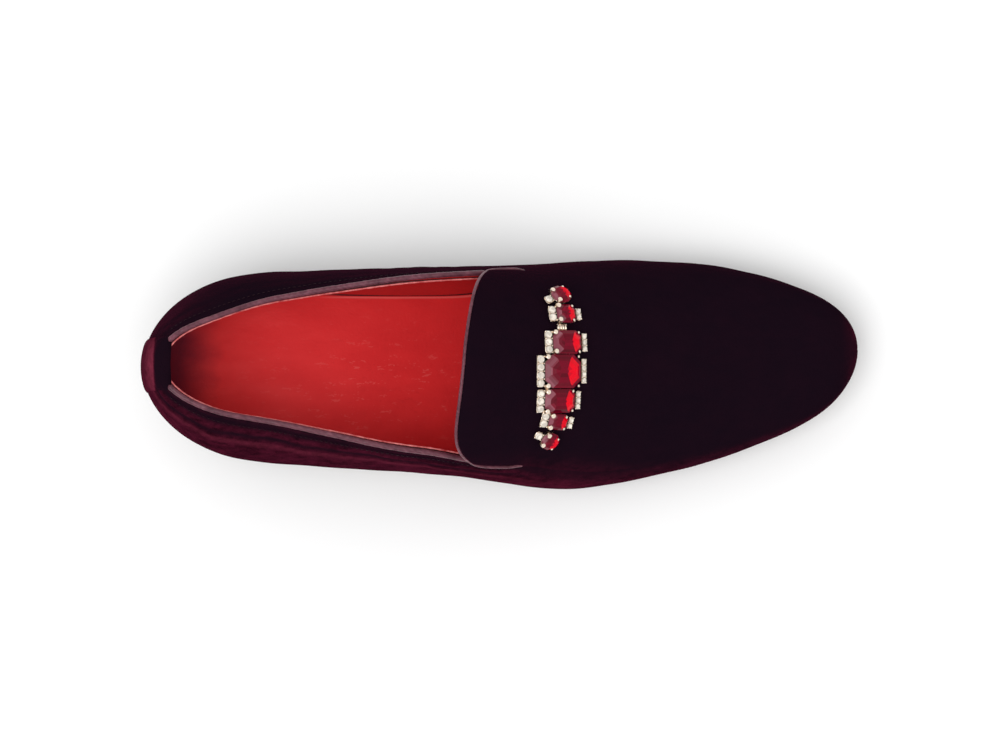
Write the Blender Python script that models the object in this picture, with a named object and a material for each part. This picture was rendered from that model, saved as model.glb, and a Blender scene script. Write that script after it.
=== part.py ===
"""A right velvet loafer: a hollow upper on a thin leather sole and a stacked heel.

Everything is in metres, with +X to the toe, +Y to the big toe's side and +Z up.
The upper is worked out from cross-sections of its last. A place on it is given by
"along" (0 at the heel, 1 at the toe), a side (1 medial, -1 lateral) and a level:
0 at the sole, 1 where the section is widest, 2 at the topline, 3 at the ridge.
"""
import bpy
import numpy as np

# Main sizes of the shoe
LENGTH = 0.296
BALL_WIDTH = 0.094
INSTEP_HEIGHT = 0.0755
HEEL_HEIGHT = 0.022
TOE_SPRING = 0.008
SOLE_THICKNESS = 0.0045
TOP_LIFT_THICKNESS = 0.006
INSOLE_THICKNESS = 0.003
UPPER_WALL = 0.002
VAMP_STEP = 0.0012
PIPING_RADIUS = 0.0011
TAB_WIDTH = 0.021
TAB_THICKNESS = 0.0012
TAB_FOLD = 0.014
CLEARANCE = 0.0003
PIPING_CLEARANCE = 0.0005
TAB_CLEARANCE = 0.00045
PATH_STEP = 0.0005

# How far the back and the toe draw in, at the sole and at the topline
HEEL_TUCK = 0.004
TOPLINE_SET_IN = 0.009
TOE_TUCK = 0.004
SOLE_EDGE = 0.0008
SOLE_BEVEL = 0.0006
INSOLE_INSET = 0.0027
LIFT_TAPER = 0.0012
LIFT_BEVEL = 0.0005
FLOOR_TAPER = 0.0015
BREAST_HOLLOW = 0.004

# Places along the shoe, as shares of its length
HEEL_ROUND = 0.19
TOE_ROUND = 0.25
TOE_BOX = 0.075
SEAT_END = 0.16
HEEL_BREAST = 0.235
TREAD_START = 0.58
TREAD_END = 0.70
THROAT = 0.4471
THROAT_SLANT = 0.0212
MEDIAL_CORNER = 0.0118
LATERAL_CORNER = 0.0246
THROAT_BLEND = 0.06
FLAP_END = 0.522
FLAP_FADE = 0.05
TAB_FOOT = 0.12
BEVEL_SHARE = 0.3

# The trim across the vamp. Heights are above the velvet, widths are of the metal.
TRIM_CLEARANCE = 0.0004
SETTING_FLOOR = 0.0010
SETTING_HEIGHT = 0.0022
SETTING_WALL = 0.0005
SETTING_FOOT = 0.0002
PRONG_HEIGHT = 0.0034
STONE_CROWN = 0.0016
STONE_PAVILION = 0.0012
STONE_GIRDLE = 0.0003
RAIL_CLEARANCE = 0.0005
CRYSTAL_RAIL = 0.0012
CRYSTAL_FOOT = 0.0003
CRYSTAL_HEIGHT = 0.0014
LINK_LENGTH = 0.0034
HEEL_CRYSTAL = 0.0032
TOE_CRYSTAL = 0.0025
CORNER_CUT = 1.55

# One row for each section of the last. The widths are shares of BALL_WIDTH, and the
# rises above the sole are shares of INSTEP_HEIGHT. A topline is its share of the rise
# from the widest place to the ridge, and "square" is the exponent of the arch.
COLUMNS = ("along", "centre", "half", "tuck_medial", "tuck_lateral",
           "widest", "ridge", "ridge_shift", "topline_medial", "topline_lateral", "square")
SECTIONS = (
    (0.000, 0.024, 0.424, 0.074, 0.074, 0.305, 0.870, 0.000, 0.800, 0.800, 2.0),
    (0.083, 0.025, 0.424, 0.074, 0.074, 0.265, 0.805, -0.010, 0.830, 0.830, 2.1),
    (0.180, 0.024, 0.420, 0.080, 0.078, 0.200, 0.770, 0.022, 0.770, 0.800, 2.15),
    (0.260, 0.021, 0.435, 0.105, 0.083, 0.180, 0.830, 0.040, 0.684, 0.716, 2.15),
    (0.366, 0.019, 0.453, 0.128, 0.085, 0.172, 0.975, 0.041, 0.612, 0.632, 2.3),
    (0.446, 0.012, 0.467, 0.117, 0.083, 0.185, 1.000, 0.050, 0.592, 0.704, 2.45),
    (0.500, 0.003, 0.483, 0.085, 0.072, 0.193, 0.942, 0.053, 0.533, 0.660, 2.35),
    (0.580, -0.002, 0.505, 0.064, 0.058, 0.200, 0.810, 0.053, 0.492, 0.568, 2.2),
    (0.650, 0.015, 0.501, 0.058, 0.053, 0.195, 0.678, 0.050, 0.500, 0.500, 2.2),
    (0.750, 0.044, 0.463, 0.053, 0.053, 0.190, 0.530, 0.034, 0.500, 0.500, 2.2),
    (0.850, 0.071, 0.424, 0.053, 0.053, 0.175, 0.413, 0.011, 0.500, 0.500, 2.3),
    (0.920, 0.084, 0.415, 0.050, 0.050, 0.158, 0.343, 0.000, 0.500, 0.500, 2.4),
    (0.965, 0.097, 0.425, 0.048, 0.048, 0.145, 0.300, 0.000, 0.500, 0.500, 2.4),
    (1.000, 0.113, 0.440, 0.048, 0.048, 0.122, 0.254, 0.000, 0.500, 0.500, 2.4),
)
MEDIAL = 1
LATERAL = -1

# One row for each stone. "across" is 0 on the ridge and 1 or -1 at the topline's level;
# "length" runs to the toe; "turn" is in degrees; the last two count the small crystals.
STONE_COLUMNS = ("along", "across", "length", "width", "turn", "round",
                 "heel_crystals", "toe_crystals")
STONES = (
    (0.574, 0.545, 0.0082, 0.0082, 35.0, 1, 1, 0),
    (0.580, 0.355, 0.0074, 0.0076, 8.0, 0, 2, 2),
    (0.581, 0.115, 0.0118, 0.0092, 3.0, 0, 3, 3),
    (0.575, -0.075, 0.0152, 0.0132, 0.0, 0, 4, 4),
    (0.571, -0.285, 0.0126, 0.0094, -3.0, 0, 3, 3),
    (0.569, -0.450, 0.0076, 0.0064, -14.0, 0, 2, 2),
    (0.559, -0.630, 0.0074, 0.0074, -35.0, 1, 1, 0),
)


def column(name, along):
    """A smooth curve through one column of the table of sections."""
    table = np.array(SECTIONS)
    knots = table[:, 0]
    values = table[:, COLUMNS.index(name)]
    slopes = np.gradient(values, knots)
    along = np.clip(np.asarray(along, float), 0.0, 1.0)
    i = np.clip(np.searchsorted(knots, along, side="right") - 1, 0, len(knots) - 2)
    span = knots[i + 1] - knots[i]
    t = (along - knots[i]) / span
    return ((1 + 2 * t) * (1 - t) ** 2 * values[i] + t * (1 - t) ** 2 * span * slopes[i]
            + t ** 2 * (3 - 2 * t) * values[i + 1] - t ** 2 * (1 - t) * span * slopes[i + 1])


def ease(low, high, x):
    """0 up to low, 1 from high on, and a smooth step between them."""
    t = np.clip((x - low) / (high - low), 0.0, 1.0)
    return t * t * (3 - 2 * t)


def sole_under(x):
    """Height of the outsole's underside: heel seat, arch, flat tread and toe spring."""
    share = np.asarray(x) / LENGTH
    seat = HEEL_HEIGHT * (1 - ease(SEAT_END, TREAD_START, share))
    spring = TOE_SPRING * np.clip((share - TREAD_END) / (1 - TREAD_END), 0, None) ** 2
    return seat + spring


def sole_top(x):
    return sole_under(x) + SOLE_THICKNESS


def wall_x(along, level, inset=0.0):
    """The back bulges at level 1 and draws in at the sole and at the topline."""
    foot = 1 - np.clip(level, 0, 1)
    rise = np.clip(level - 1, 0, 1)
    at_heel = np.clip(1 - along / HEEL_ROUND, 0, 1)
    at_toe = np.clip((along - 1 + TOE_ROUND) / TOE_ROUND, 0, 1)
    back = HEEL_TUCK * foot ** 2 + TOPLINE_SET_IN * rise ** 1.6 + inset
    front = TOE_TUCK * foot ** 2 + inset
    return along * LENGTH + back * at_heel - front * at_toe


def end_round(along):
    """The plan closes as a half ellipse at the heel and at the toe."""
    at_heel = np.clip(1 - along / HEEL_ROUND, 0, 1)
    at_toe = np.clip((along - 1 + TOE_ROUND) / TOE_ROUND, 0, 1)
    return np.sqrt(np.clip((1 - at_heel ** 2) * (1 - at_toe ** 2), 0, 1))


def surface(along, side, level, inset=0.0):
    """Points of the upper's outer face, from the sole up to the ridge."""
    along, side, level = np.broadcast_arrays(*(np.asarray(v, float) for v in (along, side, level)))
    closing = end_round(along)
    tuck = np.where(side > 0, column("tuck_medial", along), column("tuck_lateral", along))
    foot = np.clip(level, 0, 1)
    centre = BALL_WIDTH * column("centre", along)
    half = BALL_WIDTH * (column("half", along) - tuck * (1 - foot) ** 2) - inset
    widest_y = centre + side * half * closing
    ridge_y = centre + BALL_WIDTH * column("ridge_shift", along) * closing

    base = sole_top(wall_x(along, 0.0)) + CLEARANCE
    widest_z = base + INSTEP_HEIGHT * column("widest", along)
    nose = np.clip((along - 1 + TOE_BOX) / TOE_BOX, 0, 1)
    arch = column("ridge", along) - column("widest", along)
    ridge_rise = INSTEP_HEIGHT * arch * np.sqrt(1 - nose ** 2)

    square = column("square", along)
    topline = np.where(side > 0, column("topline_medial", along), column("topline_lateral", along))
    topline_angle = np.arcsin(np.clip(topline, 0, 1) ** (square / 2))
    over = np.clip(level - 2, 0, 1)
    angle = topline_angle * np.clip(level - 1, 0, 1) + (np.pi / 2 - topline_angle) * over
    y = ridge_y + (widest_y - ridge_y) * np.clip(np.cos(angle), 0, 1) ** (2 / square)
    z = base + (widest_z - base) * foot + ridge_rise * np.sin(angle) ** (2 / square)
    return np.stack([wall_x(along, level, inset), y, z], axis=-1)


def throat_shift(along, side, level):
    """Bends the stations near the throat to its slanted edge and round corners."""
    across = side * (3 - np.clip(level, 2, 3))
    corner = np.where(side > 0, MEDIAL_CORNER, LATERAL_CORNER)
    edge = THROAT_SLANT * across + corner * np.abs(across) ** 6
    reach = np.exp(-((along - THROAT) / THROAT_BLEND) ** 2)
    return edge * reach * np.clip(level - 1, 0, 1) ** 2


def upper_point(along, side, level):
    return surface(along + throat_shift(along, side, level), side, level)


def frame_at(along, side, level):
    """Point, outward normal and upward tangent of the upper's outer face."""
    step = 1e-4
    low = np.clip(along - step, 1e-5, 1 - 3 * step)
    point = upper_point(along, side, level)
    forward = upper_point(low + 2 * step, side, level) - upper_point(low, side, level)
    upward = upper_point(along, side, level + step) - upper_point(along, side, level - step)
    normal = np.cross(forward, upward) * np.asarray(side, float)[..., None]
    normal /= np.linalg.norm(normal, axis=-1, keepdims=True)
    upward = upward / np.linalg.norm(upward, axis=-1, keepdims=True)
    return point, -normal, upward


def stations():
    """Places along the shoe, closer together where the plan turns at its ends."""
    heel = HEEL_ROUND * (1 - np.cos(np.linspace(0, np.pi / 2, 12)))
    quarters = np.linspace(HEEL_ROUND, THROAT, 10)
    vamp = np.linspace(THROAT, 1 - TOE_ROUND, 11)
    toe = 1 - TOE_ROUND * (1 - np.cos(np.linspace(np.pi / 2, 0, 12)))
    return np.concatenate([heel, quarters[1:], vamp[1:], toe[1:]])


def material(name, colour, roughness, metallic=0.0):
    found = bpy.data.materials.new(name)
    found.use_nodes = True
    shader = found.node_tree.nodes["Principled BSDF"]
    shader.inputs["Base Color"].default_value = (*colour, 1.0)
    shader.inputs["Roughness"].default_value = roughness
    shader.inputs["Metallic"].default_value = metallic
    return found


def add_object(name, points, faces, finish):
    """Merges the points that coincide and makes one closed mesh object."""
    keys = {}
    kept = []
    index = []
    for point in points:
        key = tuple(np.round(point, 7))
        if key not in keys:
            keys[key] = len(kept)
            kept.append(tuple(float(c) for c in point))
        index.append(keys[key])
    clean = []
    for face in faces:
        corners = []
        for corner in (index[i] for i in face):
            if corner not in corners:
                corners.append(corner)
        if len(corners) > 2:
            clean.append(corners)
    mesh = bpy.data.meshes.new(name)
    mesh.from_pydata(kept, [], clean)
    mesh.shade_smooth()
    mesh.set_sharp_from_angle(angle=np.radians(40))
    mesh.materials.append(finish)
    made = bpy.data.objects.new(name, mesh)
    bpy.context.collection.objects.link(made)
    return made


def grid_faces(rows, columns, start=0, flip=False):
    """Quads of a grid of points, row by row."""
    faces = []
    for i in range(rows - 1):
        for j in range(columns - 1):
            a = start + i * columns + j
            face = (a, a + columns, a + columns + 1, a + 1)
            faces.append(face[::-1] if flip else face)
    return faces


def slab(name, layers, finish):
    """A closed solid between grids of one shape, from the bottom layer to the top one."""
    layers = [np.asarray(layer) for layer in layers]
    rows, columns = layers[0].shape[:2]
    size = rows * columns
    points = np.concatenate([layer.reshape(size, 3) for layer in layers])
    last = size * (len(layers) - 1)
    faces = grid_faces(rows, columns, 0, flip=True) + grid_faces(rows, columns, last)
    rim = [j for j in range(columns)]
    rim += [i * columns + columns - 1 for i in range(1, rows)]
    rim += [(rows - 1) * columns + j for j in range(columns - 2, -1, -1)]
    rim += [i * columns for i in range(rows - 2, 0, -1)]
    for k in range(len(layers) - 1):
        for a, b in zip(rim, rim[1:] + rim[:1]):
            faces.append((k * size + a, (k + 1) * size + a, (k + 1) * size + b, k * size + b))
    return add_object(name, points, faces, finish)


def tube(name, path, radius, finish, sides=6):
    """A round piping of one radius along a path, with flat ends."""
    path = np.asarray(path)
    forward = np.gradient(path, axis=0)
    forward /= np.linalg.norm(forward, axis=1, keepdims=True)
    across = np.cross(forward, (0.0, 0.0, 1.0))
    across /= np.linalg.norm(across, axis=1, keepdims=True)
    above = np.cross(across, forward)
    turn = np.arange(sides) * 2 * np.pi / sides
    rings = (path[:, None] + radius * (np.cos(turn)[None, :, None] * across[:, None]
                                       + np.sin(turn)[None, :, None] * above[:, None]))
    faces = []
    for i in range(len(path) - 1):
        for j in range(sides):
            after = (j + 1) % sides
            faces.append((i * sides + j, (i + 1) * sides + j, (i + 1) * sides + after, i * sides + after))
    faces.append(tuple(range(sides)))
    faces.append(tuple(range(len(path) * sides - 1, (len(path) - 1) * sides - 1, -1)))
    return add_object(name, rings.reshape(-1, 3), faces, finish)


def make_upper(finish):
    """The hollow upper: two walls and the vamp, with their real thickness."""
    along = stations()
    first = int(np.argmin(np.abs(along - THROAT)))
    walls = np.array([0, 0.33, 0.67, 1, 1.27, 1.53, 1.77, 2])
    over = np.array([2, 2.03, 2.16, 2.32, 2.5, 2.7, 2.86])
    points = []
    raised = []
    faces = []
    for side in (MEDIAL, LATERAL):
        grid = upper_point(along[:, None], side, walls[None, :])
        start = len(points)
        points += list(grid.reshape(-1, 3))
        raised += [0.0] * (len(along) * len(walls))
        faces += grid_faces(len(along), len(walls), start)
    level = np.concatenate([over, [3], over[::-1]])
    side = np.array([MEDIAL] * (len(over) + 1) + [LATERAL] * len(over))
    front = along[first:]
    grid = upper_point(front[:, None], side[None, :], level[None, :])
    fade = VAMP_STEP * (1 - ease(FLAP_END - FLAP_FADE, FLAP_END + FLAP_FADE / 2, front))
    step = np.where(level > 2.0, 1.0, 0.0)[None, :] * fade[:, None]
    start = len(points)
    points += list(grid.reshape(-1, 3))
    raised += list(step.reshape(-1))
    faces += grid_faces(len(front), len(level), start)

    kept = {}
    index = []
    for point, lift in zip(points, raised):
        key = tuple(np.round(point, 7))
        if key not in kept:
            kept[key] = [len(kept), point, lift]
        kept[key][2] = min(kept[key][2], lift)
        index.append(kept[key][0])
    base = np.array([entry[1] for entry in kept.values()])
    lift = np.array([entry[2] for entry in kept.values()])

    clean = []
    normals = np.zeros_like(base)
    for face in faces:
        corners = []
        for corner in (index[i] for i in face):
            if corner not in corners:
                corners.append(corner)
        if len(corners) < 3:
            continue
        p = base[corners]
        normal = np.cross(p[1] - p[0], p[2] - p[0])
        if len(corners) == 4:
            normal = normal + np.cross(p[2] - p[0], p[3] - p[0])
        middle = p.mean(axis=0)
        # a place inside the shoe, from which every face must look away
        inside = np.array([np.clip(middle[0], SEAT_END * LENGTH, (1 - SEAT_END) * LENGTH),
                           BALL_WIDTH * column("centre", middle[0] / LENGTH),
                           sole_top(middle[0]) + BEVEL_SHARE * INSTEP_HEIGHT])
        if normal @ (middle - inside) < 0:
            corners = corners[::-1]
            normal = -normal
        clean.append(corners)
        normals[corners] += normal
    normals /= np.linalg.norm(normals, axis=1, keepdims=True)

    outer = base + normals * lift[:, None]
    inner = base - normals * UPPER_WALL
    feather = np.isclose(base[:, 2], sole_top(base[:, 0]) + CLEARANCE, atol=1e-6)
    inner[feather, 2] = base[feather, 2]

    count = len(base)
    solid = [tuple(c) for c in clean] + [tuple(count + i for i in c[::-1]) for c in clean]
    edges = {(a, b) for c in clean for a, b in zip(c, c[1:] + c[:1])}
    for a, b in edges:
        if (b, a) not in edges:
            solid.append((b, a, count + a, count + b))
    return add_object("upper", np.concatenate([outer, inner]), solid, finish)


def outline(along, level, inset, height):
    """A row of points across the shoe at each place, at the height given for its x."""
    lateral = surface(along, LATERAL, level, inset)
    medial = surface(along, MEDIAL, level, inset)
    row = np.stack([lateral, (lateral + medial) / 2, medial], axis=1)
    row[..., 2] = height(row[..., 0])
    return row


def make_outsole(finish):
    """A thin sole with bevelled edges, a little wider than the upper's foot."""
    along = stations()
    bevel = BEVEL_SHARE * SOLE_THICKNESS
    layers = [outline(along, 0.0, SOLE_BEVEL - SOLE_EDGE, sole_under),
              outline(along, 0.0, -SOLE_EDGE, lambda x: sole_under(x) + bevel),
              outline(along, 0.0, -SOLE_EDGE, lambda x: sole_top(x) - bevel),
              outline(along, 0.0, SOLE_BEVEL - SOLE_EDGE, sole_top)]
    return slab("outsole", layers, finish)


def make_insole(finish):
    """The sock that covers the sole inside the upper."""
    along = stations()
    rise = INSOLE_THICKNESS / (INSTEP_HEIGHT * column("widest", along))
    bottom = outline(along, 0.0, INSOLE_INSET, lambda x: sole_top(x) + CLEARANCE)
    top = outline(along, rise, INSOLE_INSET + CLEARANCE,
                  lambda x: sole_top(x) + CLEARANCE + INSOLE_THICKNESS)
    return slab("insole", [bottom, top], finish)


def heel_layer(inset, height):
    """The outline of the heel, back from its hollow breast."""
    along = stations()
    along = np.append(along[along < HEEL_BREAST - 0.01], HEEL_BREAST)
    layer = outline(along, 0.0, inset, height)
    hollow = BREAST_HOLLOW * ease(0.5 * HEEL_BREAST, HEEL_BREAST, along)
    layer[:, 1, 0] -= hollow
    layer[:, 1, 2] = height(layer[:, 1, 0])
    return layer


def at_height(z):
    """The same height at every place."""
    return lambda x: np.full_like(x, z)


def make_heel(block_finish, lift_finish):
    """The stacked block under the seat, and the rubber piece under it."""
    block = [heel_layer(LIFT_TAPER, at_height(TOP_LIFT_THICKNESS + CLEARANCE)),
             heel_layer(0.0, lambda x: sole_under(x) - CLEARANCE)]
    lift = [heel_layer(FLOOR_TAPER + LIFT_BEVEL, at_height(0.0)),
            heel_layer(FLOOR_TAPER, at_height(LIFT_BEVEL)),
            heel_layer(LIFT_TAPER, at_height(TOP_LIFT_THICKNESS))]
    slab("heel_block", block, block_finish)
    slab("heel_top_lift", lift, lift_finish)


def rim_path(side):
    """Where the collar's piping lies: along the middle of the wall's upper edge."""
    along = stations()
    point, normal, upward = frame_at(along[along <= THROAT], side, 2.0)
    return point - normal * UPPER_WALL / 2 + upward * (PIPING_RADIUS + PIPING_CLEARANCE)


def trimmed(path, start, end):
    """The part of a path between two distances measured along it."""
    reach = np.append(0, np.cumsum(np.linalg.norm(np.diff(path, axis=0), axis=1)))
    kept = reach[(reach > start + PATH_STEP) & (reach < reach[-1] - end - PATH_STEP)]
    places = np.concatenate([[start], kept, [reach[-1] - end]])
    return np.stack([np.interp(places, reach, path[:, axis]) for axis in range(3)], axis=1)


def make_collar_piping(finish):
    """Two pipings run from the heel tab to the corners of the vamp flap."""
    for side, name in ((MEDIAL, "collar_piping_medial"), (LATERAL, "collar_piping_lateral")):
        path = rim_path(side)
        start = TAB_WIDTH / 2 + CLEARANCE + TAB_THICKNESS
        tube(name, trimmed(path, start, 7 * PIPING_RADIUS), PIPING_RADIUS, finish)


def flap_side(side, along):
    """The piping's places beside the step where the flap lies on the quarter."""
    point, normal, upward = frame_at(along, side, 2.0)
    return point + (normal - upward) * (PIPING_RADIUS + PIPING_CLEARANCE)


def throat_path():
    """Round the edge of the vamp flap, from one side over the ridge to the other."""
    reach = PIPING_RADIUS + PIPING_CLEARANCE
    side_along = np.linspace(FLAP_END, THROAT + 0.012, 8)
    parts = []
    for side in (LATERAL, MEDIAL):
        corner, normal, upward = frame_at(np.array([THROAT]), side, 2.0)
        back = np.array([-1.0, 0.0, 0.0])
        turn = corner + 1.1 * reach * (normal + 0.8 * upward + back)
        level = np.array([2.16, 2.32, 2.5, 2.7, 2.86, 3.0])
        point, normal, upward = frame_at(np.full(len(level), THROAT), side, level)
        backward = np.cross(upward, normal) * side
        edge = point + normal * (VAMP_STEP - PIPING_RADIUS) + backward * reach
        parts.append(np.concatenate([flap_side(side, side_along), turn, edge]))
    return np.concatenate([parts[0], parts[1][-2::-1]])


def make_throat_piping(finish):
    tube("throat_piping", throat_path(), PIPING_RADIUS, finish)


def make_heel_tab(finish):
    """A strip up the back, folded over the collar's edge and down its inside."""
    dense = np.linspace(0, HEEL_ROUND, 400)
    outside = np.linspace(TAB_FOOT, 2, 9)
    rise = surface(0.0, MEDIAL, 2.0)[2] - surface(0.0, MEDIAL, 1.0)[2]
    inside = np.linspace(2, 2 - TAB_FOLD / rise, 4)
    near = []
    far = []
    for share in np.linspace(-1, 1, 9):
        side = MEDIAL if share >= 0 else LATERAL
        rows = []
        for level in np.concatenate([outside, inside]):
            spread = np.abs(surface(dense, side, level)[:, 1] - BALL_WIDTH * column("centre", dense))
            along = np.interp(abs(share) * TAB_WIDTH / 2, spread, dense)
            point, normal, upward = frame_at(np.array([along]), side, level)
            if share == 0:
                normal[0, 1] = 0.0
                normal /= np.linalg.norm(normal)
            rows.append((point[0], normal[0], upward[0]))
        point, normal, upward = (np.array(part) for part in zip(*rows))
        top = len(outside)
        for layer, lift in ((near, TAB_CLEARANCE), (far, TAB_CLEARANCE + TAB_THICKNESS)):
            outer = point[:top] + normal[:top] * lift
            inner = point[top:] - normal[top:] * (UPPER_WALL + lift)
            fold = upward[top - 1] * lift
            layer.append(np.concatenate([outer, [outer[-1] + fold, inner[0] + fold], inner]))
    slab("heel_tab", [far, near], finish)


def trim_frame(stone):
    """A place on the vamp with its axes to the toe, to the medial side and outwards."""
    side = MEDIAL if stone["across"] > 0 else LATERAL
    level = 3 - abs(stone["across"])
    point, normal, upward = frame_at(np.array([stone["along"]]), side, level)
    ahead = np.cross(normal[0], upward[0]) * side
    ahead = ahead * np.sign(ahead[0])
    beside = np.cross(normal[0], ahead)
    turn = np.radians(stone["turn"])
    toe = np.cos(turn) * ahead + np.sin(turn) * beside
    medial = np.cos(turn) * beside - np.sin(turn) * ahead
    return point[0], np.stack([toe, medial, normal[0]])


def placed(local, origin, axes):
    return origin + np.asarray(local) @ axes


def stone_outline(stone, inset, height):
    """Sixteen points: a circle, or an oblong with cut corners."""
    turn = (np.arange(16) + 0.5) * np.pi / 8
    half_length = stone["length"] / 2 - inset
    half_width = stone["width"] / 2 - inset
    cos, sin = np.cos(turn), np.sin(turn)
    reach = 1.0
    if not stone["round"]:
        cos_size, sin_size = np.abs(cos), np.abs(sin)
        reach = 1 / np.maximum(np.maximum(cos_size, sin_size), (cos_size + sin_size) / CORNER_CUT)
    return np.stack([half_length * reach * cos, half_width * reach * sin, np.full(16, height)], axis=1)


def lofted(name, rings, finish, origin, axes):
    """A closed solid through rings of the same number of points."""
    count = len(rings[0])
    points = placed(np.concatenate(rings), origin, axes)
    faces = [tuple(range(count - 1, -1, -1))]
    for i in range(len(rings) - 1):
        for j in range(count):
            after = (j + 1) % count
            faces.append((i * count + j, i * count + after, (i + 1) * count + after, (i + 1) * count + j))
    faces.append(tuple(range((len(rings) - 1) * count, len(rings) * count)))
    return add_object(name, points, faces, finish)


def make_setting(name, stone, finish, origin, axes):
    """A tray with a low wall and four prongs, on the velvet."""
    prong = np.isin(np.arange(16), (1, 2, 5, 6, 9, 10, 13, 14))
    if stone["round"]:
        prong = np.isin(np.arange(16), (1, 5, 9, 13))
    top = np.where(prong, PRONG_HEIGHT, SETTING_HEIGHT)
    outer = stone_outline(stone, 0.0, SETTING_HEIGHT)
    inner = stone_outline(stone, SETTING_WALL, SETTING_HEIGHT)
    outer[:, 2] = top
    inner[:, 2] = top
    rings = [stone_outline(stone, SETTING_FOOT, TRIM_CLEARANCE), outer, inner,
             stone_outline(stone, SETTING_WALL, TRIM_CLEARANCE + SETTING_FLOOR)]
    return lofted(name, rings, finish, origin, axes)


def make_stone(name, stone, finish, origin, axes):
    """A step-cut stone in its tray: pavilion, girdle, crown and a flat table."""
    rest = TRIM_CLEARANCE + SETTING_FLOOR + CLEARANCE
    girdle = rest + STONE_PAVILION
    edge = SETTING_WALL + CLEARANCE
    depth = stone["width"] / 2
    rings = [stone_outline(stone, edge + 0.45 * depth, rest),
             stone_outline(stone, edge, girdle),
             stone_outline(stone, edge, girdle + STONE_GIRDLE),
             stone_outline(stone, edge + 0.16 * depth, girdle + 0.7 * STONE_CROWN),
             stone_outline(stone, edge + 0.36 * depth, girdle + STONE_CROWN)]
    return lofted(name, rings, finish, origin, axes)


def make_crystals(name, count, size, place, finish, origin, axes):
    """A row of small crystals on its rail, beside a stone."""
    steps = 4 * count + 1
    run = np.linspace(-count * size / 2, count * size / 2, steps)
    swell = np.tile([0.0, 0.8, 1.0, 0.8], count)
    swell = np.append(swell, 0.0)
    half = size / 2 * (0.5 + 0.5 * swell)
    across = np.array([1.0, 0.0, -1.0])
    rail = TRIM_CLEARANCE + CRYSTAL_RAIL

    def layer(width, edge, middle):
        height = np.stack([edge, middle, edge], axis=1)
        beside = np.broadcast_to(run[:, None], (steps, 3))
        local = np.stack([place + width[:, None] * across, beside, height], axis=-1)
        return placed(local, origin, axes)

    low = np.full(steps, RAIL_CLEARANCE)
    top = np.full(steps, rail)
    crown = rail + CRYSTAL_FOOT + CRYSTAL_HEIGHT * swell
    layers = [layer(0.9 * half, low, low), layer(half, top, top),
              layer(0.55 * half, crown - 0.2 * CRYSTAL_HEIGHT * swell - CRYSTAL_FOOT / 3, crown)]
    return slab(name, layers, finish)


def make_link(name, first, second, finish):
    """A gold block that fills the gap between two settings of the chain."""
    link = {key: (first[key] + second[key]) / 2 for key in ("along", "across", "turn")}
    origin, axes = trim_frame(link)
    ends = [trim_frame(stone)[0] for stone in (first, second)]
    span = np.linalg.norm(ends[1] - ends[0])
    link["width"] = span - (first["width"] + second["width"]) / 2 - 2 * CLEARANCE
    link["length"] = LINK_LENGTH
    link["round"] = 0
    rings = [stone_outline(link, 0.0, TRIM_CLEARANCE), stone_outline(link, 0.0, SETTING_HEIGHT)]
    lofted(name, rings, finish, origin, axes)


def make_trim(metal, red, clear):
    """Seven stones in a chain across the vamp, with rows of crystals beside them."""
    chain = [dict(zip(STONE_COLUMNS, values)) for values in STONES]
    make_link("link_2_3", chain[1], chain[2], metal)
    for number, stone in enumerate(chain, start=1):
        origin, axes = trim_frame(stone)
        make_setting(f"setting_{number}", stone, metal, origin, axes)
        make_stone(f"stone_{number}", stone, red, origin, axes)
        rows = (("heel", -1, stone["heel_crystals"], HEEL_CRYSTAL),
                ("toe", 1, stone["toe_crystals"], TOE_CRYSTAL))
        for name, way, count, size in rows:
            if count:
                pitch = min(size, stone["width"] / count)
                place = way * (stone["length"] / 2 + CLEARANCE + size / 2)
                make_crystals(f"crystals_{number}_{name}", count, pitch, place, clear, origin, axes)


def centre_on_floor():
    """Puts the origin under the middle of the shoe, on the floor."""
    corners = np.array([corner.co[:] for made in bpy.data.objects for corner in made.data.vertices])
    middle = (corners.min(axis=0) + corners.max(axis=0)) / 2
    for made in bpy.data.objects:
        for corner in made.data.vertices:
            corner.co.x -= middle[0]
            corner.co.y -= middle[1]


def main():
    for old in list(bpy.data.objects):
        bpy.data.objects.remove(old)
    velvet = material("velvet", (0.045, 0.008, 0.018), 0.9)
    piping = material("piping", (0.26, 0.10, 0.13), 0.5)
    red = material("red_leather", (0.40, 0.02, 0.025), 0.5)
    sole = material("sole_leather", (0.03, 0.02, 0.018), 0.45)
    rubber = material("heel_rubber", (0.015, 0.015, 0.016), 0.8)
    metal = material("pale_gold", (0.75, 0.55, 0.36), 0.25, metallic=1.0)
    stones = material("red_stone", (0.30, 0.0, 0.012), 0.05)
    clear = material("clear_crystal", (0.85, 0.84, 0.80), 0.05)
    make_outsole(sole)
    make_heel(sole, rubber)
    make_insole(red)
    make_upper(velvet)
    make_heel_tab(velvet)
    make_collar_piping(piping)
    make_throat_piping(piping)
    make_trim(metal, stones, clear)
    centre_on_floor()


main()
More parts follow.
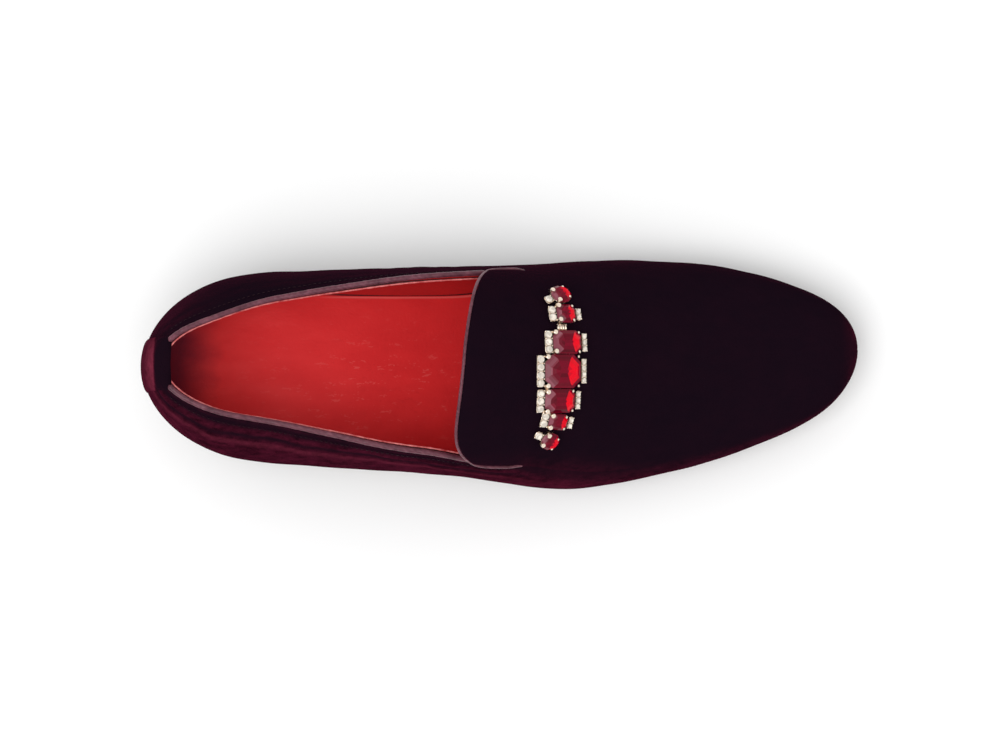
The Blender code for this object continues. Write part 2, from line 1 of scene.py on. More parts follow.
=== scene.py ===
import bpy
import numpy as np
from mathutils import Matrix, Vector


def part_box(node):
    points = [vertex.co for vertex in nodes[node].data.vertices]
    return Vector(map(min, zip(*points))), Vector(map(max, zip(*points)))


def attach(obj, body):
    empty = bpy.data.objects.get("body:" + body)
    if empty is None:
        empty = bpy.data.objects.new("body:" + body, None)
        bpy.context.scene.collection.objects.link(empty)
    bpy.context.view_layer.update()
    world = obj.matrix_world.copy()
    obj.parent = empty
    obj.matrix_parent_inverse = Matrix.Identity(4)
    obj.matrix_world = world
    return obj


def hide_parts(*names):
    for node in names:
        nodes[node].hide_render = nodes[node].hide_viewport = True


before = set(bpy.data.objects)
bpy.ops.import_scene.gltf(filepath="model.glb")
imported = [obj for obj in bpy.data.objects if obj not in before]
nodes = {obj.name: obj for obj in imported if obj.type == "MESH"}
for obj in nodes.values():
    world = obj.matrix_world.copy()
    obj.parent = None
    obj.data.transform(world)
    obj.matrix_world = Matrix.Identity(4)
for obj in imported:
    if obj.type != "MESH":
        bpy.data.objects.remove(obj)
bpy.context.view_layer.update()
print("frame loaded:", len(nodes), "nodes")

# The last of the shoe, in metres. Widths are shares of ballWidth, rises of instepHeight, places of length.
last = {
    "length": 0.296, "ballWidth": 0.094, "instepHeight": 0.0755, "heelHeight": 0.022,
    "toeSpring": 0.008, "soleThickness": 0.0045, "clearance": 0.0003, "wall": 0.002,
    "heelTuck": 0.004, "toplineSetIn": 0.009, "toeTuck": 0.004,
    "heelRound": 0.19, "toeRound": 0.25, "toeBox": 0.075, "seatEnd": 0.16, "heelBreast": 0.235,
    "treadStart": 0.58, "treadEnd": 0.70, "throat": 0.4471, "throatSlant": 0.0212,
    "medialCorner": 0.0118, "lateralCorner": 0.036, "throatBlend": 0.06, "flapEnd": 0.522, "vampStep": 0.0012,
    "collarDip": (0.12, 0.455, 0.055),  # its depth, middle and width
}
sectionColumns = ("along", "centre", "half", "tuckMedial", "tuckLateral",
                  "widest", "ridge", "ridgeShift", "toplineMedial", "toplineLateral", "square")
sections = np.array((
    (0.000, 0.024, 0.424, 0.074, 0.074, 0.305, 0.870, 0.000, 0.800, 0.800, 2.0),
    (0.083, 0.025, 0.424, 0.074, 0.074, 0.265, 0.805, -0.010, 0.830, 0.830, 2.1),
    (0.180, 0.024, 0.420, 0.080, 0.078, 0.200, 0.770, 0.022, 0.770, 0.800, 2.15),
    (0.260, 0.021, 0.435, 0.105, 0.083, 0.180, 0.830, 0.040, 0.684, 0.716, 2.15),
    (0.366, 0.019, 0.453, 0.128, 0.085, 0.172, 0.975, 0.041, 0.612, 0.632, 2.3),
    (0.446, 0.012, 0.467, 0.117, 0.083, 0.185, 1.000, 0.050, 0.592, 0.704, 2.45),
    (0.500, 0.003, 0.483, 0.085, 0.072, 0.193, 0.942, 0.053, 0.533, 0.660, 2.35),
    (0.580, -0.002, 0.505, 0.064, 0.058, 0.200, 0.810, 0.053, 0.492, 0.568, 2.2),
    (0.650, 0.015, 0.501, 0.058, 0.053, 0.195, 0.678, 0.050, 0.500, 0.500, 2.2),
    (0.750, 0.044, 0.463, 0.053, 0.053, 0.190, 0.530, 0.034, 0.500, 0.500, 2.2),
    (0.850, 0.071, 0.424, 0.053, 0.053, 0.175, 0.413, 0.011, 0.500, 0.500, 2.3),
    (0.920, 0.084, 0.415, 0.050, 0.050, 0.158, 0.343, 0.000, 0.500, 0.500, 2.4),
    (0.965, 0.097, 0.425, 0.048, 0.048, 0.145, 0.300, 0.000, 0.500, 0.500, 2.4),
    (1.000, 0.113, 0.440, 0.048, 0.048, 0.122, 0.254, 0.000, 0.500, 0.500, 2.4),
))
medial, lateral = 1.0, -1.0


def column(name, along):
    # a cubic through one column of the table, with the slope of its neighbours at each row
    knots, values = sections[:, 0], sections[:, sectionColumns.index(name)]
    slopes = np.gradient(values, knots)
    along = np.clip(along, 0.0, 1.0)
    i = np.clip(np.searchsorted(knots, along, side="right") - 1, 0, len(knots) - 2)
    span = knots[i + 1] - knots[i]
    t = (along - knots[i]) / span
    return ((1 + 2 * t) * (1 - t) ** 2 * values[i] + t * (1 - t) ** 2 * span * slopes[i]
            + t ** 2 * (3 - 2 * t) * values[i + 1] - t ** 2 * (1 - t) * span * slopes[i + 1])


def ease(low, high, x):
    # 0 up to low, 1 from high on, and t * t * (3 - 2t) between them
    t = np.clip((x - low) / (high - low), 0.0, 1.0)
    return t * t * (3 - 2 * t)


def bump(x, middle, width):
    # a soft hump: e to the minus square of the distance in widths
    return np.exp(-((x - middle) / width) ** 2)


def soleUnder(x):
    # seat height falling to the flat tread, then the toe spring rising as a square
    share = x / last["length"]
    seat = last["heelHeight"] * (1 - ease(last["seatEnd"], last["treadStart"], share))
    spring = np.clip((share - last["treadEnd"]) / (1 - last["treadEnd"]), 0, None)
    return seat + last["toeSpring"] * spring ** 2


def soleTop(x):
    # one thickness above the underside
    return soleUnder(x) + last["soleThickness"]


def ends(along):
    # how near a place is to the heel's and the toe's end, from 0 to 1
    return (np.clip(1 - along / last["heelRound"], 0, 1),
            np.clip((along - 1 + last["toeRound"]) / last["toeRound"], 0, 1))


def wallX(along, level, inset=0.0):
    # length times along, drawn in at the ends by the tuck and by the set-in of the topline
    foot, rise = 1 - np.clip(level, 0, 1), np.clip(level - 1, 0, 1)
    atHeel, atToe = ends(along)
    back = last["heelTuck"] * foot ** 2 + last["toplineSetIn"] * rise ** 1.6 + inset
    return along * last["length"] + back * atHeel - (last["toeTuck"] * foot ** 2 + inset) * atToe


def matched(*values):
    # the values as arrays of one shape
    return np.broadcast_arrays(*(np.asarray(value, float) for value in values))


def lastSurface(along, side, level, inset=0.0):
    # below level 1 a parabola in to the sole, above it a superellipse arch up to the ridge;
    # the plan closes as a half ellipse at both ends
    along, side, level = matched(along, side, level)
    atHeel, atToe = ends(along)
    closing = np.sqrt(np.clip((1 - atHeel ** 2) * (1 - atToe ** 2), 0, 1))
    tuck = np.where(side > 0, column("tuckMedial", along), column("tuckLateral", along))
    foot = np.clip(level, 0, 1)
    centre = last["ballWidth"] * column("centre", along)
    half = last["ballWidth"] * (column("half", along) - tuck * (1 - foot) ** 2) - inset
    widestY = centre + side * half * closing
    ridgeY = centre + last["ballWidth"] * column("ridgeShift", along) * closing
    base = soleTop(wallX(along, 0.0)) + last["clearance"]
    widestRise = last["instepHeight"] * column("widest", along)
    nose = np.clip((along - 1 + last["toeBox"]) / last["toeBox"], 0, 1)
    archRise = column("ridge", along) - column("widest", along)
    ridgeRise = last["instepHeight"] * archRise * np.sqrt(1 - nose ** 2)
    square = column("square", along)
    depth, middle, width = last["collarDip"]
    topline = np.where(side > 0, column("toplineMedial", along),
                       column("toplineLateral", along) - depth * bump(along, middle, width))
    toplineAngle = np.arcsin(np.clip(topline, 0, 1) ** (square / 2))
    angle = toplineAngle * np.clip(level - 1, 0, 1) + (np.pi / 2 - toplineAngle) * np.clip(level - 2, 0, 1)
    y = ridgeY + (widestY - ridgeY) * np.clip(np.cos(angle), 0, 1) ** (2 / square)
    z = base + widestRise * foot + ridgeRise * np.sin(angle) ** (2 / square)
    return np.stack([wallX(along, level, inset), y, z], axis=-1)


def upperPoint(along, side, level):
    # the last, with the stations near the throat bent to its slanted edge and round corners
    along, side, level = matched(along, side, level)
    across = side * (3 - np.clip(level, 2, 3))
    corner = np.where(side > 0, last["medialCorner"], last["lateralCorner"])
    edge = last["throatSlant"] * across + corner * np.abs(across) ** 6
    reach = bump(along, last["throat"], last["throatBlend"])
    return lastSurface(along + edge * reach * np.clip(level - 1, 0, 1) ** 2, side, level)


def unit(vectors):
    # each vector over its own length
    return vectors / np.maximum(np.linalg.norm(vectors, axis=-1, keepdims=True), 1e-12)


def frameAt(along, side, level):
    # the point, the normal out of the shoe and the tangent up the wall, from small differences
    along, side, level = matched(along, side, level)
    step = 1e-4
    low = np.clip(along - step, 1e-5, 1 - 3 * step)
    forward = upperPoint(low + 2 * step, side, level) - upperPoint(low, side, level)
    upward = upperPoint(along, side, level + step) - upperPoint(along, side, level - step)
    return upperPoint(along, side, level), unit(-np.cross(forward, upward) * side[..., None]), unit(upward)


# The last starts at the heel; the CAD frame starts under the middle of the shoe.
spread = 0.5 * (1 - np.cos(np.linspace(0, np.pi, 2000)))
_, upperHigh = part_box("upper")
widestSide = lastSurface(spread, medial, 1.0)[:, 1].max()
shift = np.array([upperHigh[0] - last["length"], upperHigh[1] - widestSide, 0.0])


def weld(points, quads):
    # merges equal points, drops corners that fall together, and keeps the rest in order
    _, first, index = np.unique(np.round(points, 7), axis=0, return_index=True, return_inverse=True)
    order = np.argsort(first)
    place = np.empty_like(order)
    place[order] = np.arange(len(order))
    quads = place[index.reshape(-1)][quads]
    faces = []
    whole = np.all(quads != np.roll(quads, -1, axis=1), axis=1)
    for quad in quads[~whole].tolist():
        corners = list(dict.fromkeys(quad))
        if len(corners) > 2:
            faces.append(corners)
    rest = np.array(faces if faces else np.zeros((0, 3)), int)
    return points[first[order]], quads[whole], rest, first[order]


def gridQuads(rows, columns, start=0, flip=False, ring=False):
    # corners (i, j), (i + 1, j), (i + 1, j + 1), (i, j + 1) of each cell; a ring closes on itself
    i, j = np.meshgrid(np.arange(rows - 1), np.arange(columns if ring else columns - 1), indexing="ij")
    after = (j + 1) % columns
    quads = start + np.stack([i * columns + j, (i + 1) * columns + j, (i + 1) * columns + after,
                              i * columns + after], axis=-1).reshape(-1, 4)
    return quads[:, ::-1] if flip else quads


def makePiece(name, points, faces, material, replaced=(), sharp=None, facets=None):
    # one mesh object at the origin that rides on the shoe; facets are values for each face or point
    mesh = bpy.data.meshes.new(name)
    corners = [face for part in faces for face in np.asarray(part).tolist()]
    mesh.from_pydata((points + shift).tolist(), [], corners)
    for key, values in (facets or {}).items():
        domain = "FACE" if len(values) == len(mesh.polygons) else "POINT"
        mesh.attributes.new(key, "FLOAT", domain).data.foreach_set("value", np.asarray(values, np.float32))
    mesh.validate()
    mesh.shade_smooth()
    if sharp is not None:
        mesh.set_sharp_from_angle(angle=np.radians(sharp))
    mesh.materials.append(material)
    piece = bpy.data.objects.new(name, mesh)
    bpy.context.scene.collection.objects.link(piece)
    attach(piece, "root")
    if replaced:
        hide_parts(*replaced)
    return piece


def loft(rings):
    # the points of equal rings and the quads between them, with a fan of one face at each end
    rows, columns = len(rings), rings[0].shape[0]
    final = rows * columns - 1
    caps = [np.arange(columns)[None, :], np.arange(final, final - columns, -1)[None, :]]
    return np.concatenate(rings), [gridQuads(rows, columns, ring=True), *caps]


def slabPiece(name, layers, material, replaced, sharp=None, facets=None):
    # full grids at the bottom and the top, and the rims of all layers joined in order
    rows, columns = layers[0].shape[:2]
    size = rows * columns
    number = np.arange(size).reshape(rows, columns)
    rim = np.concatenate([number[0], number[1:, -1], number[-1, -2::-1], number[-2:0:-1, 0]])
    quads = [gridQuads(rows, columns, 0, flip=True), gridQuads(rows, columns, size * (len(layers) - 1))]
    for k in range(len(layers) - 1):
        low, high = rim + k * size, rim + (k + 1) * size
        quads.append(np.stack([low, high, np.roll(high, -1), np.roll(low, -1)], axis=1))
    points = np.concatenate([layer.reshape(-1, 3) for layer in layers])
    points, quads, triangles, _ = weld(points, np.concatenate(quads))
    used = np.zeros(len(points), bool)
    used[quads] = True
    used[triangles] = True
    index = np.cumsum(used) - 1
    values = {key: call(points[used]) for key, call in (facets or {}).items()}
    faces = [index[quads], index[triangles]]
    return makePiece(name, points[used], faces, material, replaced, sharp, values)


def tubeRings(path, radius, sides, up=(0.0, 0.0, 1.0)):
    # circles across a path: centre + radius * (cos * across + sin * above)
    forward = unit(np.gradient(path, axis=0))
    across = unit(np.cross(forward, np.broadcast_to(up, forward.shape)))
    above = np.cross(across, forward)
    turn = np.arange(sides) * 2 * np.pi / sides
    radius = np.broadcast_to(radius, (len(path),))[:, None, None]
    return list(path[:, None] + radius * (np.cos(turn)[None, :, None] * across[:, None]
                                          + np.sin(turn)[None, :, None] * above[:, None]))


def reachAlong(path):
    # the length of the path up to each of its points
    return np.append(0, np.cumsum(np.linalg.norm(np.diff(path, axis=0), axis=1)))


def pathAt(path, reach, places):
    # the path's values at lengths along it, read between its points
    return np.stack([np.interp(places, reach, path[:, axis]) for axis in range(3)], axis=-1)


def resample(path, count, smooth=0):
    # evenly spaced points along a path, each then averaged with its neighbours
    reach = reachAlong(path)
    even = pathAt(path, reach, np.linspace(0, reach[-1], count))
    for _ in range(smooth):
        even[1:-1] = 0.25 * even[:-2] + 0.5 * even[1:-1] + 0.25 * even[2:]
    return even


def heelStations(count):
    # one minus a cosine, so closest together at the back of the heel
    return last["heelRound"] * (1 - np.cos(np.linspace(0, np.pi / 2, count)))


def toeStations(count):
    # the same from the other end, closest together at the tip of the toe
    return 1 - last["toeRound"] * (1 - np.cos(np.linspace(np.pi / 2, 0, count)))


def stitchPiece(name, line, above, seam, material):
    # a row of capsules along a line: half a sine for the height and the thickness of each
    reach = reachAlong(line)
    starts = np.arange(seam["start"], reach[-1] - seam["long"], seam["pitch"])
    share = np.linspace(0, 1, seam["rings"])
    places = starts[:, None] + share * seam["long"]
    centre, above = pathAt(line, reach, places), unit(pathAt(above, reach, places))
    across = unit(np.cross(unit(np.gradient(centre, axis=1)), above))
    arch = np.sin(np.pi * share)
    centre = centre + above * (seam["rise"] * arch - seam["sink"])[:, None]
    sides = 6
    turn = (np.arange(sides) * 2 * np.pi / sides)[:, None]
    thick = seam["radius"] * (seam["end"] + (1 - seam["end"]) * arch)[:, None, None]
    spokes = np.cos(turn) * across[:, :, None] + np.sin(turn) * above[:, :, None]
    rings = centre[:, :, None] + thick * spokes
    size = sides * seam["rings"]
    first = size * np.arange(len(starts))[:, None]
    quads = (gridQuads(seam["rings"], sides, ring=True) + first[:, :, None]).reshape(-1, 4)
    caps = [first + np.arange(sides)[::-1], first + size - sides + np.arange(sides)]
    makePiece(name, rings.reshape(-1, 3), [quads[:, ::-1], *caps], material)


# Materials. Each group is built once and gives colours, masks, values or normals only.
def newGroup(name, inputs, outputs):
    group = bpy.data.node_groups.new(name, "ShaderNodeTree")
    for key, value in inputs.items():
        kind = "NodeSocketColor" if isinstance(value, tuple) else "NodeSocketFloat"
        group.interface.new_socket(key, in_out="INPUT", socket_type=kind).default_value = value
    for key, kind in outputs.items():
        group.interface.new_socket(key, in_out="OUTPUT", socket_type=kind)
    return group, group.nodes.new("NodeGroupInput"), group.nodes.new("NodeGroupOutput")


def addNode(tree, kind, values=None, links=None, **settings):
    # a node with its settings, its fixed inputs and its incoming links
    node = tree.nodes.new(kind)
    for key, value in settings.items():
        setattr(node, key, value)
    for key, value in (values or {}).items():
        node.inputs[key].default_value = value
    for key, source in (links or {}).items():
        tree.links.new(source, node.inputs[key])
    return node


def mathNode(tree, operation, first, second=None, clamp=False):
    node = addNode(tree, "ShaderNodeMath", operation=operation, use_clamp=clamp)
    for socket, value in zip(node.inputs, (first, second)):
        if value is None:
            continue
        if isinstance(value, (int, float)):
            socket.default_value = value
        else:
            tree.links.new(value, socket)
    return node.outputs[0]


def product(tree, first, second):
    return mathNode(tree, "MULTIPLY", first, second)


def mixColours(tree, factor, first, second):
    # each of the three is a socket or a fixed value
    node = addNode(tree, "ShaderNodeMix", data_type="RGBA")
    for key, value in ((0, factor), (6, first), (7, second)):
        if hasattr(value, "links"):
            tree.links.new(value, node.inputs[key])
        elif isinstance(value, (int, float)):
            node.inputs[key].default_value = value
        else:
            node.inputs[key].default_value = (*value, 1.0)
    return node.outputs[2]


def rangeOf(tree, source, low, high, toLow=0.0, toHigh=1.0):
    # a straight line between two ends, held beyond them
    return addNode(tree, "ShaderNodeMapRange", {1: low, 2: high, 3: toLow, 4: toHigh}, {0: source}).outputs[0]


def weighted(tree, *parts):
    # the sum of values, each times its weight
    total = None
    for source, weight in parts:
        value = source if weight == 1.0 else product(tree, source, weight)
        total = value if total is None else mathNode(tree, "ADD", total, value)
    return total


def objectPlace(tree):
    return addNode(tree, "ShaderNodeTexCoord").outputs["Object"]


def meshValue(tree, name):
    # a value that the mesh carries for each face or point
    return addNode(tree, "ShaderNodeAttribute", attribute_name=name).outputs["Fac"]


def noiseOf(tree, place, scale, detail, roughness=0.5):
    return addNode(tree, "ShaderNodeTexNoise", {"Detail": detail, "Roughness": roughness},
                   {"Vector": place, "Scale": scale}).outputs[0]


def buildPatches():
    # slow brushed patches: two sizes of noise, stretched into strokes, as a mask round 0.5
    group, enter, leave = newGroup("brushedPatches", {"Scale": 20.0, "Stretch": 1.0, "Contrast": 1.0},
                                   {"Mask": "NodeSocketFloat"})
    scale = enter.outputs["Scale"]
    wide = addNode(group, "ShaderNodeCombineXYZ", {1: 1.0, 2: 1.0}, {0: enter.outputs["Stretch"]})
    turned = addNode(group, "ShaderNodeVectorMath", None, {0: objectPlace(group), 1: wide.outputs[0]},
                     operation="MULTIPLY").outputs[0]
    big = noiseOf(group, turned, scale, 3.0, 0.6)
    fine = noiseOf(group, turned, product(group, scale, 4.3), 2.0, 0.6)
    both = weighted(group, (big, 0.65), (fine, 0.35))
    spread = product(group, mathNode(group, "SUBTRACT", both, 0.5), enter.outputs["Contrast"])
    group.links.new(mathNode(group, "ADD", spread, 0.5, clamp=True), leave.inputs["Mask"])
    return group


def buildPile():
    # short dense pile: very fine noise, with a second one for clumps
    group, enter, leave = newGroup("velvetPile", {"Scale": 2600.0, "Clumps": 420.0},
                                   {"Height": "NodeSocketFloat"})
    place = objectPlace(group)
    hairs = noiseOf(group, place, enter.outputs["Scale"], 1.0)
    clumps = noiseOf(group, place, enter.outputs["Clumps"], 2.0)
    group.links.new(weighted(group, (hairs, 0.6), (clumps, 0.6)), leave.inputs["Height"])
    return group


def buildGrain():
    # leather grain: cells with soft rims, broken up by noise
    group, enter, leave = newGroup("leatherGrain", {"Scale": 900.0}, {"Height": "NodeSocketFloat"})
    place, scale = objectPlace(group), enter.outputs["Scale"]
    cells = addNode(group, "ShaderNodeTexVoronoi", None, {"Vector": place, "Scale": scale},
                    feature="SMOOTH_F1").outputs["Distance"]
    rough = noiseOf(group, place, product(group, scale, 0.45), 3.0)
    group.links.new(weighted(group, (cells, 0.5), (rough, 0.5)), leave.inputs["Height"])
    return group


patchesGroup, pileGroup, grainGroup = buildPatches(), buildPile(), buildGrain()


def useGroup(tree, group, **values):
    node = addNode(tree, "ShaderNodeGroup", node_tree=group)
    for key, value in values.items():
        node.inputs[key].default_value = value
    return node


def patchMask(tree, scale, stretch, contrast):
    return useGroup(tree, patchesGroup, Scale=scale, Stretch=stretch, Contrast=contrast).outputs["Mask"]


def grainHeight(tree, scale):
    return useGroup(tree, grainGroup, Scale=scale).outputs["Height"]


def newMaterial(name, settings):
    # a Principled material whose constant values are set on its own sockets
    material = bpy.data.materials.new(name)
    material.use_nodes = True
    shader = material.node_tree.nodes["Principled BSDF"]
    for key, value in settings.items():
        shader.inputs[key].default_value = (*value, 1.0) if isinstance(value, tuple) else value
    return material, material.node_tree, shader


def bumpInto(tree, shader, height, strength, distance):
    node = addNode(tree, "ShaderNodeBump", {"Strength": strength, "Distance": distance}, {"Height": height})
    tree.links.new(node.outputs["Normal"], shader.inputs["Normal"])


# Patches, streaks, specks and marks: scale, stretch and contrast. Relief: strength and distance.
# flankDark to flank: painted light on the lateral flank in mottled strokes; tab: the brighter painted sheen
# on the heel tab
velvetLook = {
    "pile": (0.0066, 0.0032, 0.0068), "worn": (0.0100, 0.0035, 0.0076), "flankDark": (0.013, 0.0017, 0.0046),
    "flank": (0.064, 0.0064, 0.018), "tab": (0.20, 0.027, 0.052), "roughness": 0.85, "sheen": 0.08,
    "sheenRoughness": 0.28, "sheenTint": (0.62, 0.06, 0.17), "patches": (55.0, 0.6, 2.1),
    "specks": (420.0, 0.8, 3.2), "relief": (0.7, 0.0005),
}


def buildVelvet():
    # near black pile; up to 0.5 the mesh's painted-light value turns it burgundy in mottled strokes, painted
    # light and sheen, and above 0.5 it goes on to the tab's brighter red, a painted sheen
    look = velvetLook
    material, tree, shader = newMaterial("velvet", {
        "Roughness": look["roughness"], "Sheen Weight": look["sheen"],
        "Sheen Roughness": look["sheenRoughness"], "Sheen Tint": look["sheenTint"],
        "Specular IOR Level": 0.0})
    paintedLight, pile = meshValue(tree, "paintedLight"), useGroup(tree, pileGroup).outputs["Height"]
    patches, specks = patchMask(tree, *look["patches"]), patchMask(tree, *look["specks"])
    strokes = weighted(tree, (patches, 0.62), (specks, 0.38))
    top = mixColours(tree, patches, look["pile"], look["worn"])
    flank = mixColours(tree, rangeOf(tree, strokes, 0.30, 0.86), look["flankDark"], look["flank"])
    colour = mixColours(tree, rangeOf(tree, paintedLight, 0.0, 0.5), top, flank)
    # above 0.5 the painted sheen of the heel tab, in the same strokes
    over = product(tree, rangeOf(tree, paintedLight, 0.5, 1.0), rangeOf(tree, strokes, 0.2, 0.8, 0.45, 1.0))
    tree.links.new(mixColours(tree, over, colour, look["tab"]), shader.inputs["Base Color"])
    bumpInto(tree, shader, weighted(tree, (pile, 0.8), (patches, 0.8), (specks, 0.5)), *look["relief"])
    return material


pipingLook = {"cloth": (0.185, 0.056, 0.080), "fold": (0.052, 0.011, 0.020), "roughness": 0.36, "ribs": 270.0,
              "sheenTint": (0.6, 0.3, 0.4), "patches": (150.0, 1.0, 2.6), "relief": (0.6, 0.0003)}


def buildPiping():
    # satin bias strip: slanted fine ribs and puckers where it is sewn, with painted shade in the ribs'
    # troughs and the puckers
    look = pipingLook
    material, tree, shader = newMaterial("satinPiping", {
        "Roughness": look["roughness"], "Specular IOR Level": 0.3, "Sheen Weight": 0.1,
        "Sheen Tint": look["sheenTint"]})
    ribs = addNode(tree, "ShaderNodeTexWave", {"Scale": look["ribs"], "Distortion": 0.8},
                   {"Vector": objectPlace(tree)}, bands_direction="DIAGONAL").outputs["Fac"]
    patches = patchMask(tree, *look["patches"])
    # painted shade: the fold colour where ribs and puckers are low
    shade = product(tree, patches, rangeOf(tree, ribs, 0.0, 1.0, 0.75, 1.0))
    tree.links.new(mixColours(tree, shade, look["fold"], look["cloth"]), shader.inputs["Base Color"])
    bumpInto(tree, shader, weighted(tree, (ribs, 0.3), (patches, 1.0)), *look["relief"])
    return material


# The gap colour is painted shade in the fold by the wall and under the piping; the dark colour is painted
# shade at the heel, fading out between the two heel places.
redLook = {
    "bright": (0.74, 0.024, 0.026), "deep": (0.60, 0.014, 0.017), "dark": (0.17, 0.008, 0.026),
    "scuff": (0.80, 0.13, 0.12), "gap": (0.035, 0.003, 0.006), "rim": (0.86, 0.20, 0.19), "roughness": 0.5,
    "paintedHeelShade": (-0.136, -0.118), "heelWave": 0.012, "patches": (24.0, 0.5, 2.0),
    "streaks": (120.0, 0.3, 3.0), "marks": (430.0, 0.35, 4.0), "grain": 950.0, "relief": (0.30, 0.0003),
}


def buildRedLeather(name, paintedBrightness=1.0, paintedHeelShade=False):
    # smooth lining leather: fine grain, slow patches, faint rubbed streaks; the mesh's "fold" value is 1 in a
    # dark gap of painted shade and -1 on a pale rim; the sock also has painted shade at the heel, and is
    # scuffed where it is trodden
    look = redLook
    material, tree, shader = newMaterial(name, {"Specular IOR Level": 0.16})
    patches, streaks = patchMask(tree, *look["patches"]), patchMask(tree, *look["streaks"])
    bright, deep = (tuple(min(1.0, c * paintedBrightness) for c in look[key]) for key in ("bright", "deep"))
    colour = mixColours(tree, patches, deep, bright)
    rubbed = product(tree, rangeOf(tree, streaks, 0.75, 1.0), 0.45)
    colour = mixColours(tree, rubbed, colour, deep)
    fold = meshValue(tree, "fold")
    colour = mixColours(tree, rangeOf(tree, fold, 0.0, 0.7), colour, look["gap"])
    colour = mixColours(tree, rangeOf(tree, fold, 0.0, -1.0, 0.0, 0.8), colour, look["rim"])
    if paintedHeelShade:
        # painted shade at the heel, its edge wavering with the patches
        along = addNode(tree, "ShaderNodeSeparateXYZ", None, {0: objectPlace(tree)}).outputs[0]
        wave = product(tree, mathNode(tree, "SUBTRACT", patches, 0.5), look["heelWave"])
        shade = rangeOf(tree, mathNode(tree, "ADD", along, wave), *look["paintedHeelShade"], 1.0, 0.0)
        colour = mixColours(tree, shade, colour, look["dark"])
        marks, trodden = patchMask(tree, *look["marks"]), meshValue(tree, "trodden")
        for low, high, weight, tone in ((0.86, 0.99, 0.42, "scuff"), (0.14, 0.02, 0.5, "deep")):
            mark = product(tree, rangeOf(tree, marks, low, high), trodden)
            colour = mixColours(tree, product(tree, mark, weight), colour, look[tone])
    tree.links.new(colour, shader.inputs["Base Color"])
    rub = rangeOf(tree, patches, 0.3, 0.8, look["roughness"] + 0.08, look["roughness"] - 0.06)
    tree.links.new(rub, shader.inputs["Roughness"])
    grain = grainHeight(tree, look["grain"])
    bumpInto(tree, shader, weighted(tree, (grain, 1.0), (streaks, 0.5)), *look["relief"])
    return material


# The cut edge of the lining, painted pale pink as a highlight along it and broken by darker red patches.
liningEdgeLook = {"colours": ((0.42, 0.035, 0.040), (0.86, 0.27, 0.26)), "roughness": 0.5, "specular": 0.3,
                  "patches": (190.0, 1.0, 3.5), "relief": (0.4, 0.0002)}
# Tan sole leather, scuffed darker where it meets the floor.
treadLook = {"colours": ((0.10, 0.052, 0.028), (0.20, 0.105, 0.052)), "roughness": 0.55, "specular": 0.5,
             "patches": (26.0, 1.0, 2.4), "grain": 700.0, "relief": (0.4, 0.0003)}
rubberLook = {"colours": ((0.008, 0.008, 0.009),), "roughness": 0.75, "specular": 0.18, "grain": 1500.0,
              "relief": (0.3, 0.0002)}
# Waxed thread, with a fine mottled relief, in three colours.
threadLook = {"roughness": 0.6, "specular": 0.1, "patches": (900.0, 1.0, 2.0), "relief": (0.4, 0.0001)}
threadColours = {"darkThread": (0.016, 0.0035, 0.008), "paleThread": (0.30, 0.20, 0.12),
                 "mauveThread": (0.085, 0.020, 0.035)}


def buildPlain(name, look):
    # one colour, or two mixed by patches; the relief is the grain, or else the patches
    first, *second = look["colours"]
    material, tree, shader = newMaterial(name, {
        "Roughness": look["roughness"], "Specular IOR Level": look["specular"], "Base Color": first})
    patches = patchMask(tree, *look["patches"]) if "patches" in look else None
    if second:
        tree.links.new(mixColours(tree, patches, first, second[0]), shader.inputs["Base Color"])
    height = grainHeight(tree, look["grain"]) if "grain" in look else patches
    bumpInto(tree, shader, height, *look["relief"])
    return material


soleLook = {"edge": (0.009, 0.005, 0.0045), "edgeWorn": (0.020, 0.011, 0.008), "roughness": 0.42,
            "layers": 46.0, "patches": (60.0, 1.0, 2.0), "grain": 1200.0, "relief": (0.35, 0.0003)}


def buildSoleEdge():
    # burnished dark edge of stacked leather: thin level layers and polished patches
    look = soleLook
    material, tree, shader = newMaterial("soleEdge", {"Roughness": look["roughness"],
                                                     "Specular IOR Level": 0.2})
    layers = addNode(tree, "ShaderNodeTexWave", {"Scale": look["layers"], "Distortion": 0.5, "Detail": 1.0},
                     {"Vector": objectPlace(tree)}, bands_direction="Z").outputs["Fac"]
    colour = mixColours(tree, patchMask(tree, *look["patches"]), look["edge"], look["edgeWorn"])
    tree.links.new(colour, shader.inputs["Base Color"])
    height = weighted(tree, (rangeOf(tree, layers, 0.0, 0.16), 1.0), (grainHeight(tree, look["grain"]), 0.4))
    bumpInto(tree, shader, height, *look["relief"])
    return material


goldLook = {"colour": (0.95, 0.80, 0.66), "patches": (700.0, 1.0, 2.0), "roughness": (0.12, 0.34)}


def buildGold():
    # pale plated metal with faint polishing marks
    look = goldLook
    material, tree, shader = newMaterial("paleGold", {"Metallic": 1.0, "Base Color": look["colour"]})
    rub = rangeOf(tree, patchMask(tree, *look["patches"]), 0.0, 1.0, *look["roughness"])
    tree.links.new(rub, shader.inputs["Roughness"])
    return material


stoneLook = {"dark": (0.045, 0.0, 0.004), "deep": (0.23, 0.0, 0.018), "bright": (0.90, 0.0, 0.014),
             "pale": (0.30, 0.10, 0.13), "patches": (260.0, 1.0, 3.0), "clouds": 0.30}


